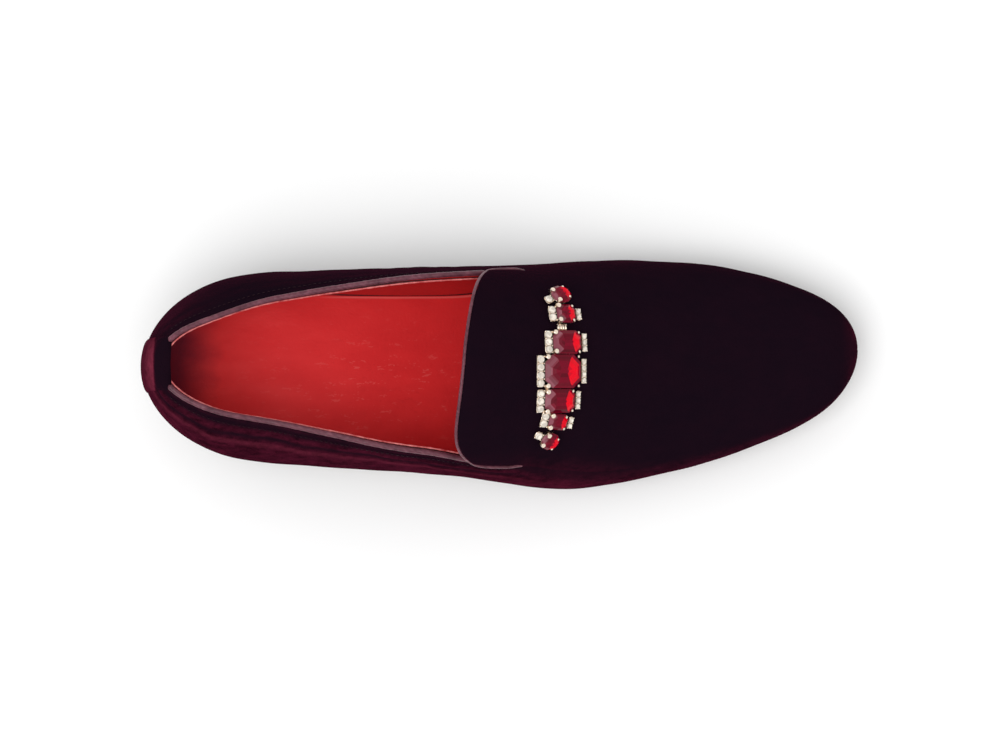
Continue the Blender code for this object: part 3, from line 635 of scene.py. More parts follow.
def buildStone():
    # red glass: each facet has its own depth of red, painted light, and a painted pale reflection, from the
    # attributes of its mesh
    look = stoneLook
    material, tree, shader = newMaterial("redStone", {
        "Roughness": 0.05, "IOR": 1.45, "Specular IOR Level": 0.14, "Transmission Weight": 0.1})
    paintedFacetLight, paintedReflection = meshValue(tree, "paintedFacetLight"), meshValue(tree, "paintedReflection")
    low = mixColours(tree, rangeOf(tree, paintedFacetLight, 0.0, 0.5), look["dark"], look["deep"])
    colour = mixColours(tree, rangeOf(tree, paintedFacetLight, 0.5, 1.0), low, look["bright"])
    clouds = product(tree, patchMask(tree, *look["patches"]), look["clouds"])
    colour = mixColours(tree, clouds, colour, look["dark"])
    tree.links.new(mixColours(tree, paintedReflection, colour, look["pale"]), shader.inputs["Base Color"])
    return material


crystalLook = {"light": (1.0, 0.92, 0.80), "shade": (0.20, 0.17, 0.14)}


def buildCrystal():
    # clear crystal: pale facets broken by a few grey ones, painted reflections from the mesh's value for each
    # facet
    look = crystalLook
    material, tree, shader = newMaterial("clearCrystal", {
        "Roughness": 0.06, "IOR": 1.5, "Transmission Weight": 0.08, "Coat Weight": 0.3,
        "Coat Roughness": 0.02})
    colour = mixColours(tree, meshValue(tree, "paintedFacetLight"), look["shade"], look["light"])
    tree.links.new(colour, shader.inputs["Base Color"])
    return material


velvet, satin, gold = buildVelvet(), buildPiping(), buildGold()
redGlass, crystal = buildStone(), buildCrystal()
# the lining is the same leather at 0.68 of its brightness, painted shade on the walls inside the shoe; the
# sock at 1.05
liningLeather = buildRedLeather("liningLeather", 0.68)
insoleLeather = buildRedLeather("insoleLeather", 1.05, paintedHeelShade=True)
edgeLeather, soleEdge = buildPlain("liningEdgeHighlight", liningEdgeLook), buildSoleEdge()
soleTread, rubber = buildPlain("soleTread", treadLook), buildPlain("heelRubber", rubberLook)
thread, paleThread, mauveThread = (buildPlain(name, {**threadLook, "colours": (colour,)})
                                   for name, colour in threadColours.items())
print("materials ready")

# The upper: a velvet shell and a red lining inside it, both from the same stations of the last.
upperShape = {
    "heelRows": 36, "quarterRows": 64, "vampRows": 70, "toeRows": 40, "footColumns": 9, "wallColumns": 40,
    "archColumns": 32, "velvetShare": 0.0012, "layerGap": 0.00003, "edgeRound": 0.03, "uneven": 0.00010,
    "bands": ((0.0024, 0.0011, -0.00042), (0.0054, 0.0018, 0.00034),  # middle, width and height
              (0.0090, 0.0016, -0.00036), (0.0125, 0.0022, 0.00016)),
    # middle, slant and depth across the vamp; middle and depth across the quarters
    "creases": ((0.600, 0.020, 0.00028), (0.636, -0.015, 0.00022), (0.664, 0.010, 0.00016)),
    "quarterCreases": ((0.33, 0.00030), (0.362, 0.00020), (0.395, 0.00028), (0.425, 0.00020)),
    # how much painted light the velvet gets on the lateral flank, on the flap's top, on the toe's tip (a
    # painted sheen) and on the medial heel
    "medialBands": 0.35, "flankPaintedLight": 0.5, "flapPaintedLight": 0.12, "tipPaintedSheen": 0.34, "medialHeelPaintedLight": 0.25,
}


def upperStations():
    # closer together at the heel and at the toe, where the plan turns
    rows = upperShape
    quarter = np.linspace(last["heelRound"], last["throat"], rows["quarterRows"])
    vamp = np.linspace(last["throat"], 1 - last["toeRound"], rows["vampRows"])
    toe = toeStations(rows["toeRows"])
    return np.concatenate([heelStations(rows["heelRows"]), quarter[1:], vamp[1:], toe[1:]])


def upperBase():
    # two walls up to level 2 and the arch of the vamp, welded into one open surface
    shape = upperShape
    along = upperStations()
    first = int(np.argmin(np.abs(along - last["throat"])))
    walls = np.concatenate([np.linspace(0, 1, shape["footColumns"]),
                            np.linspace(1, 2, shape["wallColumns"])[1:]])
    near = 2 + shape["edgeRound"] * np.array([0, 0.25, 0.5, 0.75, 1.0])
    arch = np.concatenate([near, np.linspace(near[-1], 3, shape["archColumns"])[1:]])
    level = np.concatenate([arch, arch[-2::-1]])
    side = np.concatenate([np.full(len(arch), medial), np.full(len(arch) - 1, lateral)])
    points, quads, places = [], [], []
    start = 0
    for rows, sides, levels, flip in ((along, np.full(len(walls), medial), walls, True),
                                      (along, np.full(len(walls), lateral), walls, False),
                                      (along[first:], side, level, True)):
        spots = np.broadcast_arrays(rows[:, None], sides[None, :], levels[None, :])
        points.append(upperPoint(*spots).reshape(-1, 3))
        places.append(np.stack(spots, axis=-1).reshape(-1, 3))
        quads.append(gridQuads(len(rows), len(levels), start, flip=flip))
        start += len(points[-1])
    points, places = np.concatenate(points), np.concatenate(places)
    points, quads, triangles, kept = weld(points, np.concatenate(quads))
    return points, quads, triangles, places[kept]


def surfaceNormals(points, quads, triangles):
    # the sum of the crossed diagonals of the quads, or edges of the triangles, round each point
    normals = np.zeros_like(points)
    for faces, (a, b, c, d) in ((quads, (0, 2, 1, 3)), (triangles, (0, 1, 0, 2))):
        one, other = points[faces[:, b]] - points[faces[:, a]], points[faces[:, d]] - points[faces[:, c]]
        for corner in range(faces.shape[1]):
            np.add.at(normals, faces[:, corner], np.cross(one, other))
    return unit(normals)


def rimEdges(quads, triangles):
    # the edges that one face alone uses, in that face's direction
    edges = np.concatenate([np.stack([faces, np.roll(faces, -1, axis=1)], axis=-1).reshape(-1, 2)
                            for faces in (quads, triangles)])
    size = edges.max() + 1
    keys, reverse = edges[:, 0] * size + edges[:, 1], edges[:, 1] * size + edges[:, 0]
    return edges[~np.isin(keys, reverse)]


def shellOf(outer, inner, quads, triangles):
    # an outer face, an inner face turned round, and quads across the rims
    count = len(outer)
    rim = rimEdges(quads, triangles)
    band = np.stack([rim[:, 1], rim[:, 0], rim[:, 0] + count, rim[:, 1] + count], axis=1)
    faces = [quads, triangles, quads[:, ::-1] + count, triangles[:, ::-1] + count, band]
    return np.concatenate([outer, inner]), faces


def belowCollar(along, side, level):
    # metres down the wall from the topline, straight across
    here = upperPoint(along, side, np.minimum(level, 2.0))
    return np.linalg.norm(upperPoint(along, side, 2.0) - here, axis=-1)


def upperRelief(places):
    # the flap's step, the turned and creased band under the collar, walking creases and a soft unevenness
    along, side, level = places.T
    shape = upperShape
    fade = 1 - ease(last["flapEnd"] - 0.05, last["flapEnd"] + 0.025, along)
    step = last["vampStep"] * ease(2.0, 2.0 + shape["edgeRound"], level) * fade
    relief = np.where((level > 2.0) & (along >= last["throat"] - 1e-6), step, 0.0)
    relief += collarBands(places)[0] * np.where(side > 0, shape["medialBands"], 1.0)
    arch = np.clip(level - 1, 0, 1)
    for middle, slant, depth in shape["creases"]:
        line = middle + slant * side * (3 - np.clip(level, 2, 3)) + 0.006 * np.sin(5 * level + 3 * side)
        relief -= depth * bump(along, line, 0.010) * arch
    for middle, depth in shape["quarterCreases"]:
        relief -= depth * bump(along + 0.03 * (level - 1.4), middle, 0.009) * bump(level, 1.5, 0.30)
    soft = (np.sin(38 * along + 4 * level) * np.sin(23 * along - 6 * level + side)
            + 0.5 * np.sin(90 * along + 9 * level * side))
    return relief + shape["uneven"] * soft * np.clip(level / 0.5, 0, 1)


def collarBands(places):
    # waves down the wall from the collar: the sum of soft ridges and troughs, wandering a little
    along, side, level = places.T
    wander = 0.0008 * np.sin(41 * along + 2 * side) + 0.0005 * np.sin(97 * along + side)
    down = belowCollar(along, side, level)
    band = np.zeros(len(along))
    for middle, width, height in upperShape["bands"]:
        band += height * bump(down, middle + wander * min(1.0, middle / 0.008), width)
    quarter = 1 - ease(last["throat"] + 0.02, last["throat"] + 0.12, along)
    return band * quarter * (level <= 2.0), down


def paintedPileLight(places):
    # painted light on the lateral flank, up to a line that drops ahead of the throat and fades more slowly
    # there, with little on the flap's own top; painted light on the heel and painted sheen on the toe's tip;
    # painted shade under the collar, and painted shade and highlights in its bands
    along, side, level = places.T
    shape = upperShape
    forward = ease(last["throat"] - 0.01, last["throat"] + 0.10, along)
    low = 1.92 - 0.22 * forward
    high = low + 0.36 + 0.22 * forward * (1 - ease(0.60, 0.72, along))
    flank = np.where(side > 0, 0.0, shape["flankPaintedLight"]) * (1 - ease(0.0, 1.0, (level - low) / (high - low)))
    pastFlap = ease(last["flapEnd"] - 0.02, last["flapEnd"] + 0.02, along)
    flank = flank * np.where(level > 2.0, shape["flapPaintedLight"] + (1 - shape["flapPaintedLight"]) * pastFlap, 1.0)
    heel = shape["flankPaintedLight"] * (1 - ease(0.02, 0.12, along)) * (1 - ease(2.02, 2.34, level))
    heel = np.where(side > 0, shape["medialHeelPaintedLight"], 1.0) * heel
    tip = shape["tipPaintedSheen"] * ease(0.972, 1.0, along) * (1 - 0.6 * ease(2.2, 2.9, level))
    bands, down = collarBands(places)
    shade = np.where(level <= 2.0, 0.40 + 0.60 * ease(0.004, 0.013, down), 1.0) + 1700 * bands
    return np.maximum(np.maximum(flank, heel) * np.clip(shade, 0.1, 1.25), tip)


def buildUpper():
    # velvet from the outer face inwards, lining from just behind it to the inner face
    shape = upperShape
    points, quads, triangles, places = upperBase()
    normals = surfaceNormals(points, quads, triangles)
    relief = upperRelief(places)
    feather = places[:, 2] == 0

    def layer(depth):
        moved = points - normals * depth
        moved[feather, 2] = points[feather, 2]
        return moved

    outer = points + normals * relief[:, None]
    outer[feather] = points[feather]
    shell, faces = shellOf(outer, layer(shape["velvetShare"]), quads, triangles)
    # painted light and shade for the velvet, the same on its outer and its inner face
    paintedLight = np.tile(paintedPileLight(places), 2)
    makePiece("upperVelvet", shell, faces, velvet, ("upper",), None, {"paintedLight": paintedLight})
    thin = shape["velvetShare"] + shape["layerGap"]
    shell, faces = shellOf(layer(thin), layer(last["wall"]), quads, triangles)
    makePiece("upperLining", shell, faces, liningLeather)
    print("upper:", len(points), "points a face")


def collarStations(count, start, end):
    # for each side the stations of the topline, evenly spaced from start to end metres short of the throat
    dense = np.concatenate([heelStations(200), np.linspace(last["heelRound"], last["throat"], 300)[1:]])
    for side, name in ((medial, "Medial"), (lateral, "Lateral")):
        reach = reachAlong(upperPoint(dense, side, 2.0))
        yield side, name, np.interp(np.linspace(start, reach[-1] - end, count), reach, dense)


# The lining's folded edge; on the medial side it stands off less from medialStart to medialEnd.
liningShape = {"depth": 0.016, "standOff": 0.0011, "thickness": 0.0004, "rise": 0.0004, "edge": 0.00036,
               "pucker": 0.00012, "least": 0.00004, "spacing": 0.0008, "medialStart": 0.26, "medialEnd": 0.43}


def buildLiningBand():
    # a strip that stands off the wall under the piping and fades into it, with a round edge along its top
    shape = liningShape
    for side, name, along in collarStations(240, 0.0, 0.0015):
        down = np.concatenate([[0, 0.0003, 0.0008], np.linspace(0.0015, shape["depth"], 16)])
        edge = upperPoint(along, side, 2.0)
        wall = np.linalg.norm(edge - upperPoint(along, side, 1.2), axis=-1)
        levels = 2.0 - 0.8 * down[None, :] / wall[:, None]
        point, normal, upward = frameAt(along[:, None], side, levels)
        puckers = shape["pucker"] * np.sin(along * 700)[:, None]
        closer = 0.6 * ease(shape["medialStart"], shape["medialEnd"], along) * (side > 0)
        off = shape["standOff"] * (1 - closer)[:, None]
        lift = (off + puckers) * (1 - ease(0.0, shape["depth"], down))[None, :] + shape["least"]
        near = point - normal * (last["wall"] + upperShape["layerGap"])
        far = point - normal * (last["wall"] + lift + shape["thickness"])[..., None]
        rise = shape["rise"] * (1 - ease(0.0, 0.004, down))[None, :, None]
        layers = [near + upward * rise, far + upward * rise]
        if side > 0:
            layers = layers[::-1]
        shaded = np.where(down < 0.0002, 0.75, 0.0)  # the rim under the piping lies in shade
        slabPiece("liningBand" + name, layers, liningLeather, (), 60,
                  {"fold": lambda place: np.tile(shaded, len(place) // len(shaded))})
        inwards = last["wall"] + off + 0.5 * shape["thickness"]
        top = point[:, 0] - normal[:, 0] * inwards + upward[:, 0] * shape["rise"]
        length = reachAlong(top)[-1]
        path = resample(top, int(length / shape["spacing"]), smooth=2)
        reach = np.linspace(0, length, len(path))
        radius = shape["edge"] * (1 + 0.18 * np.sin(reach * 1300) * np.sin(reach * 210 + 1.3))
        rings, faces = loft(tubeRings(path, radius, 8))
        makePiece("liningEdgeHighlight" + name, rings, faces, edgeLeather)


buildUpper()

# Pipings: a corded strip on the collar's edge, and one round the vamp flap.
pipingShape = {"radius": 0.0011, "throatRadius": 0.00066, "sides": 14, "spacing": 0.0007, "pucker": 0.05,
               "tabWidth": 0.021, "medialShift": 0.0008, "stitchDown": 0.0030, "flapStitch": 0.0075}
velvetSeam = {"start": 0.001, "long": 0.0013, "pitch": 0.0021, "rings": 6, "rise": 0.00022, "sink": 0.00012,
              "radius": 0.00016, "end": 0.45}


def pipingPiece(name, path, thickness, replaced):
    # a tube whose radius swells slightly along it, as a sewn strip does
    length = reachAlong(path)[-1]
    count = int(length / pipingShape["spacing"])
    path = resample(path, count, smooth=4)
    reach = np.linspace(0, length, count)
    swell = 1 + pipingShape["pucker"] * (np.sin(reach * 1900) * 0.5 + np.sin(reach * 830 + 1.0) * 0.5)
    radius = thickness * swell * np.minimum(1, 0.35 + ease(0, 0.0012, np.minimum(reach, length - reach)))
    rings, faces = loft(tubeRings(path, radius, pipingShape["sides"]))
    return makePiece(name, rings, faces, satin, replaced)


def stitchRow(name, along, side, level, down, material):
    # stitches on the velvet along a row of places, moved down the wall
    point, normal, upward = frameAt(along, side, level)
    stitchPiece(name, point - upward * down, normal, velvetSeam, material)


def collarPath(side):
    # half a wall in from the outer face, a little further out on the medial side, and raised on the edge
    along = np.concatenate([heelStations(60), np.linspace(last["heelRound"], last["throat"], 80)[1:]])
    point, normal, upward = frameAt(along, side, 2.0)
    closer = ease(liningShape["medialStart"], liningShape["medialEnd"], along) * (side > 0)
    inwards = last["wall"] / 2 - pipingShape["medialShift"] * closer
    return point - normal * inwards[:, None] + upward * (pipingShape["radius"] * 0.8)


def flapPath():
    # for each side: up the flank, round the corner and in along the edge to the ridge; joined over the ridge
    thick = pipingShape["throatRadius"]
    parts = []
    for side in (lateral, medial):
        along = np.linspace(last["flapEnd"], last["throat"] + 0.008, 40)
        point, normal, upward = frameAt(along, side, 2.0)
        out = thick * (1 - 1.9 * ease(last["flapEnd"] - 0.022, last["flapEnd"], along))
        flank = point + normal * out[:, None] - upward * thick * 0.6
        corner, normal, upward = frameAt(np.array([last["throat"]]), side, 2.0)
        turn = corner + thick * (0.9 * normal + 0.3 * upward + np.array([-1.2, 0, 0]))
        level = np.linspace(2.10, 3.0, 34)
        point, normal, upward = frameAt(np.full(len(level), last["throat"]), side, level)
        ahead = np.cross(upward, normal) * side * thick * 1.1
        edge = point + normal * (last["vampStep"] - thick * 0.9) + ahead
        parts.append(np.concatenate([flank, turn, edge]))
    return np.concatenate([parts[0], parts[1][-2::-1]])


def buildPipings():
    # the collar's two pipings, the flap's, and the stitches beside them
    shape = pipingShape
    for side, name in ((medial, "collar_piping_medial"), (lateral, "collar_piping_lateral")):
        path = collarPath(side)
        reach = reachAlong(path)
        kept = (reach > shape["tabWidth"] / 2 - 0.0006) & (reach < reach[-1] - 0.0012)
        pipingPiece(name.replace("_", ""), path[kept], shape["radius"], (name,))
    flap = resample(flapPath(), 340, smooth=14)
    pipingPiece("throatpiping", flap, shape["throatRadius"], ("throat_piping",))
    level = np.linspace(2.16, 3.0, 200)
    behind = np.full(len(level), last["throat"] + shape["flapStitch"])
    for side, name, along in collarStations(300, 0.013, 0.004):
        stitchRow("collarStitches" + name, along, side, 2.0, shape["stitchDown"], thread)
        stitchRow("flapStitches" + name, behind, side, level, 0.0, mauveThread)
    buildLiningBand()
    print("pipings sewn on")


buildPipings()


# The insole sock, the outsole and the heel.
soleShape = {
    "rows": 150, "insoleThickness": 0.003, "insoleInset": 0.0024, "edge": 0.0008, "fold": (-0.062, 0.000),
    "topLift": 0.006, "taper": 0.0015, "hollow": 0.004, "channelInset": 0.0048,
    # insets, shares of the thickness and lifts, from inside the stitched channel out to the edge and up
    "channel": ((0.0058, 0.0, 0.0), (0.0053, 0.0, 0.0001), (0.0050, 0.0, 0.0005), (0.0046, 0.0, 0.0005),
                (0.0043, 0.0, 0.0001)),
    "edgeProfile": ((0.0038, 0.0, 0.0), (0.0014, 0.0, 0.0), (0.0006, 0.03, 0.0), (0.0002, 0.12, 0.0),
                    (0.0, 0.3, 0.0), (0.0, 0.66, 0.0), (0.00025, 0.72, 0.0), (0.0, 0.78, 0.0),
                    (0.0001, 0.88, 0.0), (0.0004, 0.97, 0.0), (0.0009, 1.0, 0.0)),
    # heights and insets of the rubber top lift
    "liftProfile": ((0.0, 0.0009), (0.0004, 0.0003), (0.0010, 0.0001), (0.0050, -0.0002), (0.0058, 0.0),
                    (0.006, 0.0004)),
}
soleSeam = {"start": 0.0, "long": 0.0024, "pitch": 0.0034, "rings": 5, "rise": 0.00016, "sink": 0.0001,
            "radius": 0.00028, "end": 0.5}


def soleStations(count, end=1.0):
    # even in the angle at both ends, so that the outline stays round
    middle = np.linspace(last["heelRound"], 1 - last["toeRound"], count // 2)
    along = np.concatenate([heelStations(count // 4), middle[1:], toeStations(count // 4)[1:]])
    return along if end == 1.0 else np.append(along[along < end - 0.004], end)


def floorGrid(along, level, inset, across, height):
    # straight lines across the shoe between the two sides of the outline, at a height for each x
    share = (np.linspace(0, 1, across) if np.isscalar(across) else across)[None, :, None]
    left, right = (lastSurface(along, side, level, inset)[:, None] for side in (lateral, medial))
    grid = left * (1 - share) + right * share
    grid[..., 2] = height(grid[..., 0], share[..., 0])
    return grid


def buildInsole():
    # a padded sock: level edges, and a shallow hollow where the heel and the ball have pressed it
    shape = soleShape
    along = soleStations(shape["rows"])
    rise = shape["insoleThickness"] / (last["instepHeight"] * column("widest", along))
    base = last["clearance"]
    thick = shape["insoleThickness"]

    def flat(lift):
        return lambda x, share: soleTop(x) + base + lift

    def dished(x, share):
        # one minus a square across, deepest under the heel and under the ball
        middle = 1 - (2 * share - 1) ** 2
        place = x / last["length"]
        press = 0.5 * bump(place, 0.11, 0.08) + 0.45 * bump(place, 0.62, 0.12)
        return soleTop(x) + base + thick - 0.0012 * middle * press

    def foldShade(place):
        # along the fold 1, a painted shade, where the sock meets the medial wall, and -0.8 on the sock's own
        # paler rim, 0 elsewhere
        start, end = shape["fold"]
        x = place[:, 0] + shift[0]
        there = ease(start - 0.02, start, x) * (1 - ease(end, end + 0.03, x))
        inward = np.interp(place[:, 0], edge[:, 0], edge[:, 1]) - place[:, 1]
        return there * (bump(inward, 0.0001, 0.0008) - 0.8 * bump(inward, 0.0013, 0.0004))

    def trodden(place):
        # a long oval round the middle of the heel's seat
        x, y = (place[:, axis] + shift[axis] for axis in (0, 1))
        return bump(np.hypot((x + 0.045) / 2.2, y + 0.004), 0.0, 0.022)

    share = np.concatenate([np.linspace(0, 0.82, 22), np.linspace(0.82, 1, 34)[1:]])
    layers = [floorGrid(along, 0.0, shape["insoleInset"], share, flat(0.0)),
              floorGrid(along, rise * 0.8, shape["insoleInset"] + 0.0001, share, flat(0.7 * thick)),
              floorGrid(along, rise, shape["insoleInset"] + 0.0006, share, dished)]
    edge = layers[2][:, -1]
    slabPiece("insoleSock", layers, insoleLeather, ("insole",), 50,
              {"fold": foldShade, "trodden": trodden})


def buildOutsole():
    # flat grids joined by their rims, from inside the stitched channel out to the edge and up
    shape = soleShape
    along = soleStations(shape["rows"])
    thick = last["soleThickness"]
    layers = []
    for inset, share, lift in shape["channel"] + shape["edgeProfile"]:
        layers.append(floorGrid(along, 0.0, inset - shape["edge"], 9,
                                lambda x, across, s=share, l=lift: soleUnder(x) + s * thick + l))
    sole = slabPiece("outsoleEdge", layers, soleEdge, ("outsole",), 40)
    sole.data.materials.append(soleTread)
    polygons = sole.data.polygons
    normals = np.zeros(len(polygons) * 3)
    polygons.foreach_get("normal", normals)
    polygons.foreach_set("material_index", (normals[2::3] < -0.6).astype(np.int32))
    buildSoleStitches()


def buildSoleStitches():
    # pale stitches sunk in the channel, on both sides of the forepart and the waist
    shape = soleShape
    share = np.linspace(last["heelBreast"] + 0.02, 0.97, 900)
    for side, name in ((medial, "Medial"), (lateral, "Lateral")):
        line = lastSurface(share, side, 0.0, shape["channelInset"] - shape["edge"])
        line[:, 2] = soleUnder(line[:, 0]) + 0.00042
        down = np.broadcast_to((0.0, 0.0, -1.0), line.shape)
        stitchPiece("soleStitches" + name, line, down, soleSeam, paleThread)


def heelLayer(inset, height):
    # the sole's outline up to the breast, whose end is hollowed as a parabola
    along = soleStations(soleShape["rows"], last["heelBreast"])
    layer = floorGrid(along, 0.0, inset, 17, lambda x, share: 0 * x)
    share = np.linspace(-1, 1, 17)[None, :]
    toBreast = ease(0.5 * last["heelBreast"], last["heelBreast"], along)[:, None]
    layer[..., 0] -= soleShape["hollow"] * toBreast * (1 - share ** 2)
    layer[..., 2] = height(layer[..., 0])
    return layer


def buildHeel():
    # layers from the top lift up to the sole, narrower and slightly hollow below, and the rubber under them
    shape = soleShape
    taper, low = shape["taper"], shape["topLift"] + last["clearance"]
    block = []
    for share in np.linspace(0, 1, 9):
        inset = taper * 0.8 * (1 - share) ** 1.5 + 0.0002 * (1 - np.sin(np.pi * share))
        block.append(heelLayer(inset, lambda x, s=share: low + s * (soleUnder(x) - last["clearance"] - low)))
    slabPiece("heelStack", block, soleEdge, ("heel_block",), 40)
    lift = [heelLayer(taper + inset, lambda x, z=height: np.full_like(x, z))
            for height, inset in shape["liftProfile"]]
    slabPiece("heelRubber", lift, rubber, ("heel_top_lift",), 40)


buildInsole()
buildOutsole()
buildHeel()
print("insole, sole and heel built")

# The velvet tab up the back, folded over the collar.
tabShape = {"width": 0.021, "thickness": 0.0007, "foot": 0.12, "fold": 0.014, "gap": 0.0002, "columns": 33,
            "pull": 0.9, "middle": 0.12}


def buildTab():
    # a strip between two offsets of the upper's faces, closed round its edges
    shape = tabShape
    dense = np.linspace(0, last["heelRound"], 600)
    outside = np.linspace(shape["foot"], 2, 60)
    rise = lastSurface(0.0, medial, 2.0)[2] - lastSurface(0.0, medial, 1.0)[2]
    inside = np.linspace(2, 2 - shape["fold"] / rise, 26)
    levels = np.concatenate([outside, inside])
    share = np.linspace(-1, 1, shape["columns"])
    along = np.zeros((len(levels), shape["columns"]))
    for row, level in enumerate(levels):
        spreadY = np.abs(lastSurface(dense, medial, level)[:, 1]
                         - last["ballWidth"] * column("centre", dense))
        along[row] = np.interp(np.abs(share) * shape["width"] / 2, spreadY, dense)
    side = np.where(share >= 0, medial, lateral)
    point, normal, upward = frameAt(along, side[None, :], levels[:, None])
    middle = np.abs(share) < shape["middle"]
    normal[:, middle, 1] *= np.abs(share[middle]) / shape["middle"]
    normal = unit(normal)
    top = len(outside)
    layers = []
    edge = 1 - 0.75 * np.abs(share) ** 14
    for raised in (np.full(len(share), shape["gap"]), shape["gap"] + shape["thickness"] * edge):
        raised = raised[None, :, None]
        outer = point[:top] + normal[:top] * raised
        inner = point[top:] - normal[top:] * (last["wall"] + raised)
        inner[..., 0] += shape["pull"] * (inner[:, :1, 0] - inner[..., 0])
        turn = np.linspace(0, np.pi, 13)[1:-1, None, None]
        centre = point[top - 1] - normal[top - 1] * last["wall"] / 2
        radius = last["wall"] / 2 + raised
        fold = centre + radius * (np.cos(turn) * normal[top - 1] + 0.75 * np.sin(turn) * upward[top - 1])
        drawn = shape["pull"] * ease(0.35, 1.0, turn[..., 0] / np.pi)
        fold[..., 0] += drawn * (fold[:, :1, 0] - fold[..., 0])
        layers.append(np.concatenate([outer, fold, inner]))
    rim, crest = layers[1][top + 2, :, 0].mean(), layers[1][..., 2].max()
    # painted sheen on the tab's outer face, stronger towards its top, and none where it turns inside
    slabPiece("heelTabVelvet", layers, velvet, ("heel_tab",), 60,
              {"paintedLight": lambda place: (0.56 + 0.34 * ease(crest - 0.016, crest - 0.003, place[:, 2]))
               * (1 - ease(rim - 0.0030, rim - 0.0018, place[:, 0]))})
    print("heel tab folded")


buildTab()

# The jewelled trim.
trimShape = {
    "clearance": 0.0004, "floor": 0.0010, "height": 0.0022, "wall": 0.0005, "prong": 0.0034, "crown": 0.0016,
    "rail": 0.0012, "crystalHeight": 0.0014, "heelCrystal": 0.0032, "toeCrystal": 0.0025,
    "link": 0.0042, "linkBack": -0.0018, "wire": 0.00024, "gap": 0.0003, "overLength": 0.0007,
    "overWidth": 0.0004, "clawIn": 0.0004, "bead": 0.0003,
    "heelClaw": (0.00098, 0.0005), "toeClaw": (0.00050, 0.0),  # thickness and extra height
}
stoneColumns = ("along", "across", "length", "width", "turn", "round", "heelCrystals", "toeCrystals")
stones = (
    (0.574, 0.545, 0.0082, 0.0082, 35.0, 1, 1, 0),
    (0.580, 0.355, 0.0074, 0.0076, 8.0, 0, 2, 2),
    (0.581, 0.115, 0.0118, 0.0092, 3.0, 0, 3, 3),
    (0.575, -0.075, 0.0152, 0.0132, 0.0, 0, 4, 4),
    (0.571, -0.285, 0.0126, 0.0094, -3.0, 0, 3, 3),
    (0.569, -0.450, 0.0076, 0.0064, -14.0, 0, 2, 2),
    (0.559, -0.630, 0.0074, 0.0074, -35.0, 1, 1, 0),
)


def trimFrame(stone):
    # the velvet's point under a stone, and axes to the toe, to the medial side and outwards
    side = medial if stone["across"] > 0 else lateral
    point, normal, upward = frameAt(stone["along"], side, 3 - abs(stone["across"]))
    ahead = np.cross(normal, upward) * side
    ahead = ahead * np.sign(ahead[0])
    beside = np.cross(normal, ahead)
    turn = np.radians(stone["turn"])
    return point, np.stack([np.cos(turn) * ahead + np.sin(turn) * beside,
                            np.cos(turn) * beside - np.sin(turn) * ahead, normal])


def ovalRing(length, width, count):
    # a ring of points on an oval
    turn = (np.arange(count) + 0.5) * 2 * np.pi / count
    return np.stack([length / 2 * np.cos(turn), width / 2 * np.sin(turn), np.zeros(count)], axis=1)


def octagon(length, width, corner):
    # the eight corners of an oblong with its own corners cut off
    x, y = length / 2, width / 2
    return np.array([(x, -y + corner, 0), (x, y - corner, 0), (x - corner, y, 0), (-x + corner, y, 0),
                     (-x, y - corner, 0), (-x, -y + corner, 0), (-x + corner, -y, 0), (x - corner, -y, 0)])


def localLoft(rings):
    # rings that go round the other way, from the bottom up
    points, faces = loft(rings)
    return points, [face[:, ::-1] for face in faces]


def faceCentres(points, faces):
    # the mean of each face's corners
    return np.concatenate([points[part].mean(axis=1) for part in faces])


def scatter(count, seed):
    # a repeatable number from 0 to 1 for each face: the fraction of a large sine
    return np.modf(np.abs(np.sin((np.arange(count) + 1.7 * seed) * 12.9898) * 4375.85))[0]


def joined(parts):
    # several point lists and their faces as one, with the corner numbers moved on
    points, faces, start = [], [], 0
    for partPoints, partFaces in parts:
        points.append(partPoints)
        faces += [part + start for part in partFaces]
        start += len(partPoints)
    return np.concatenate(points), faces


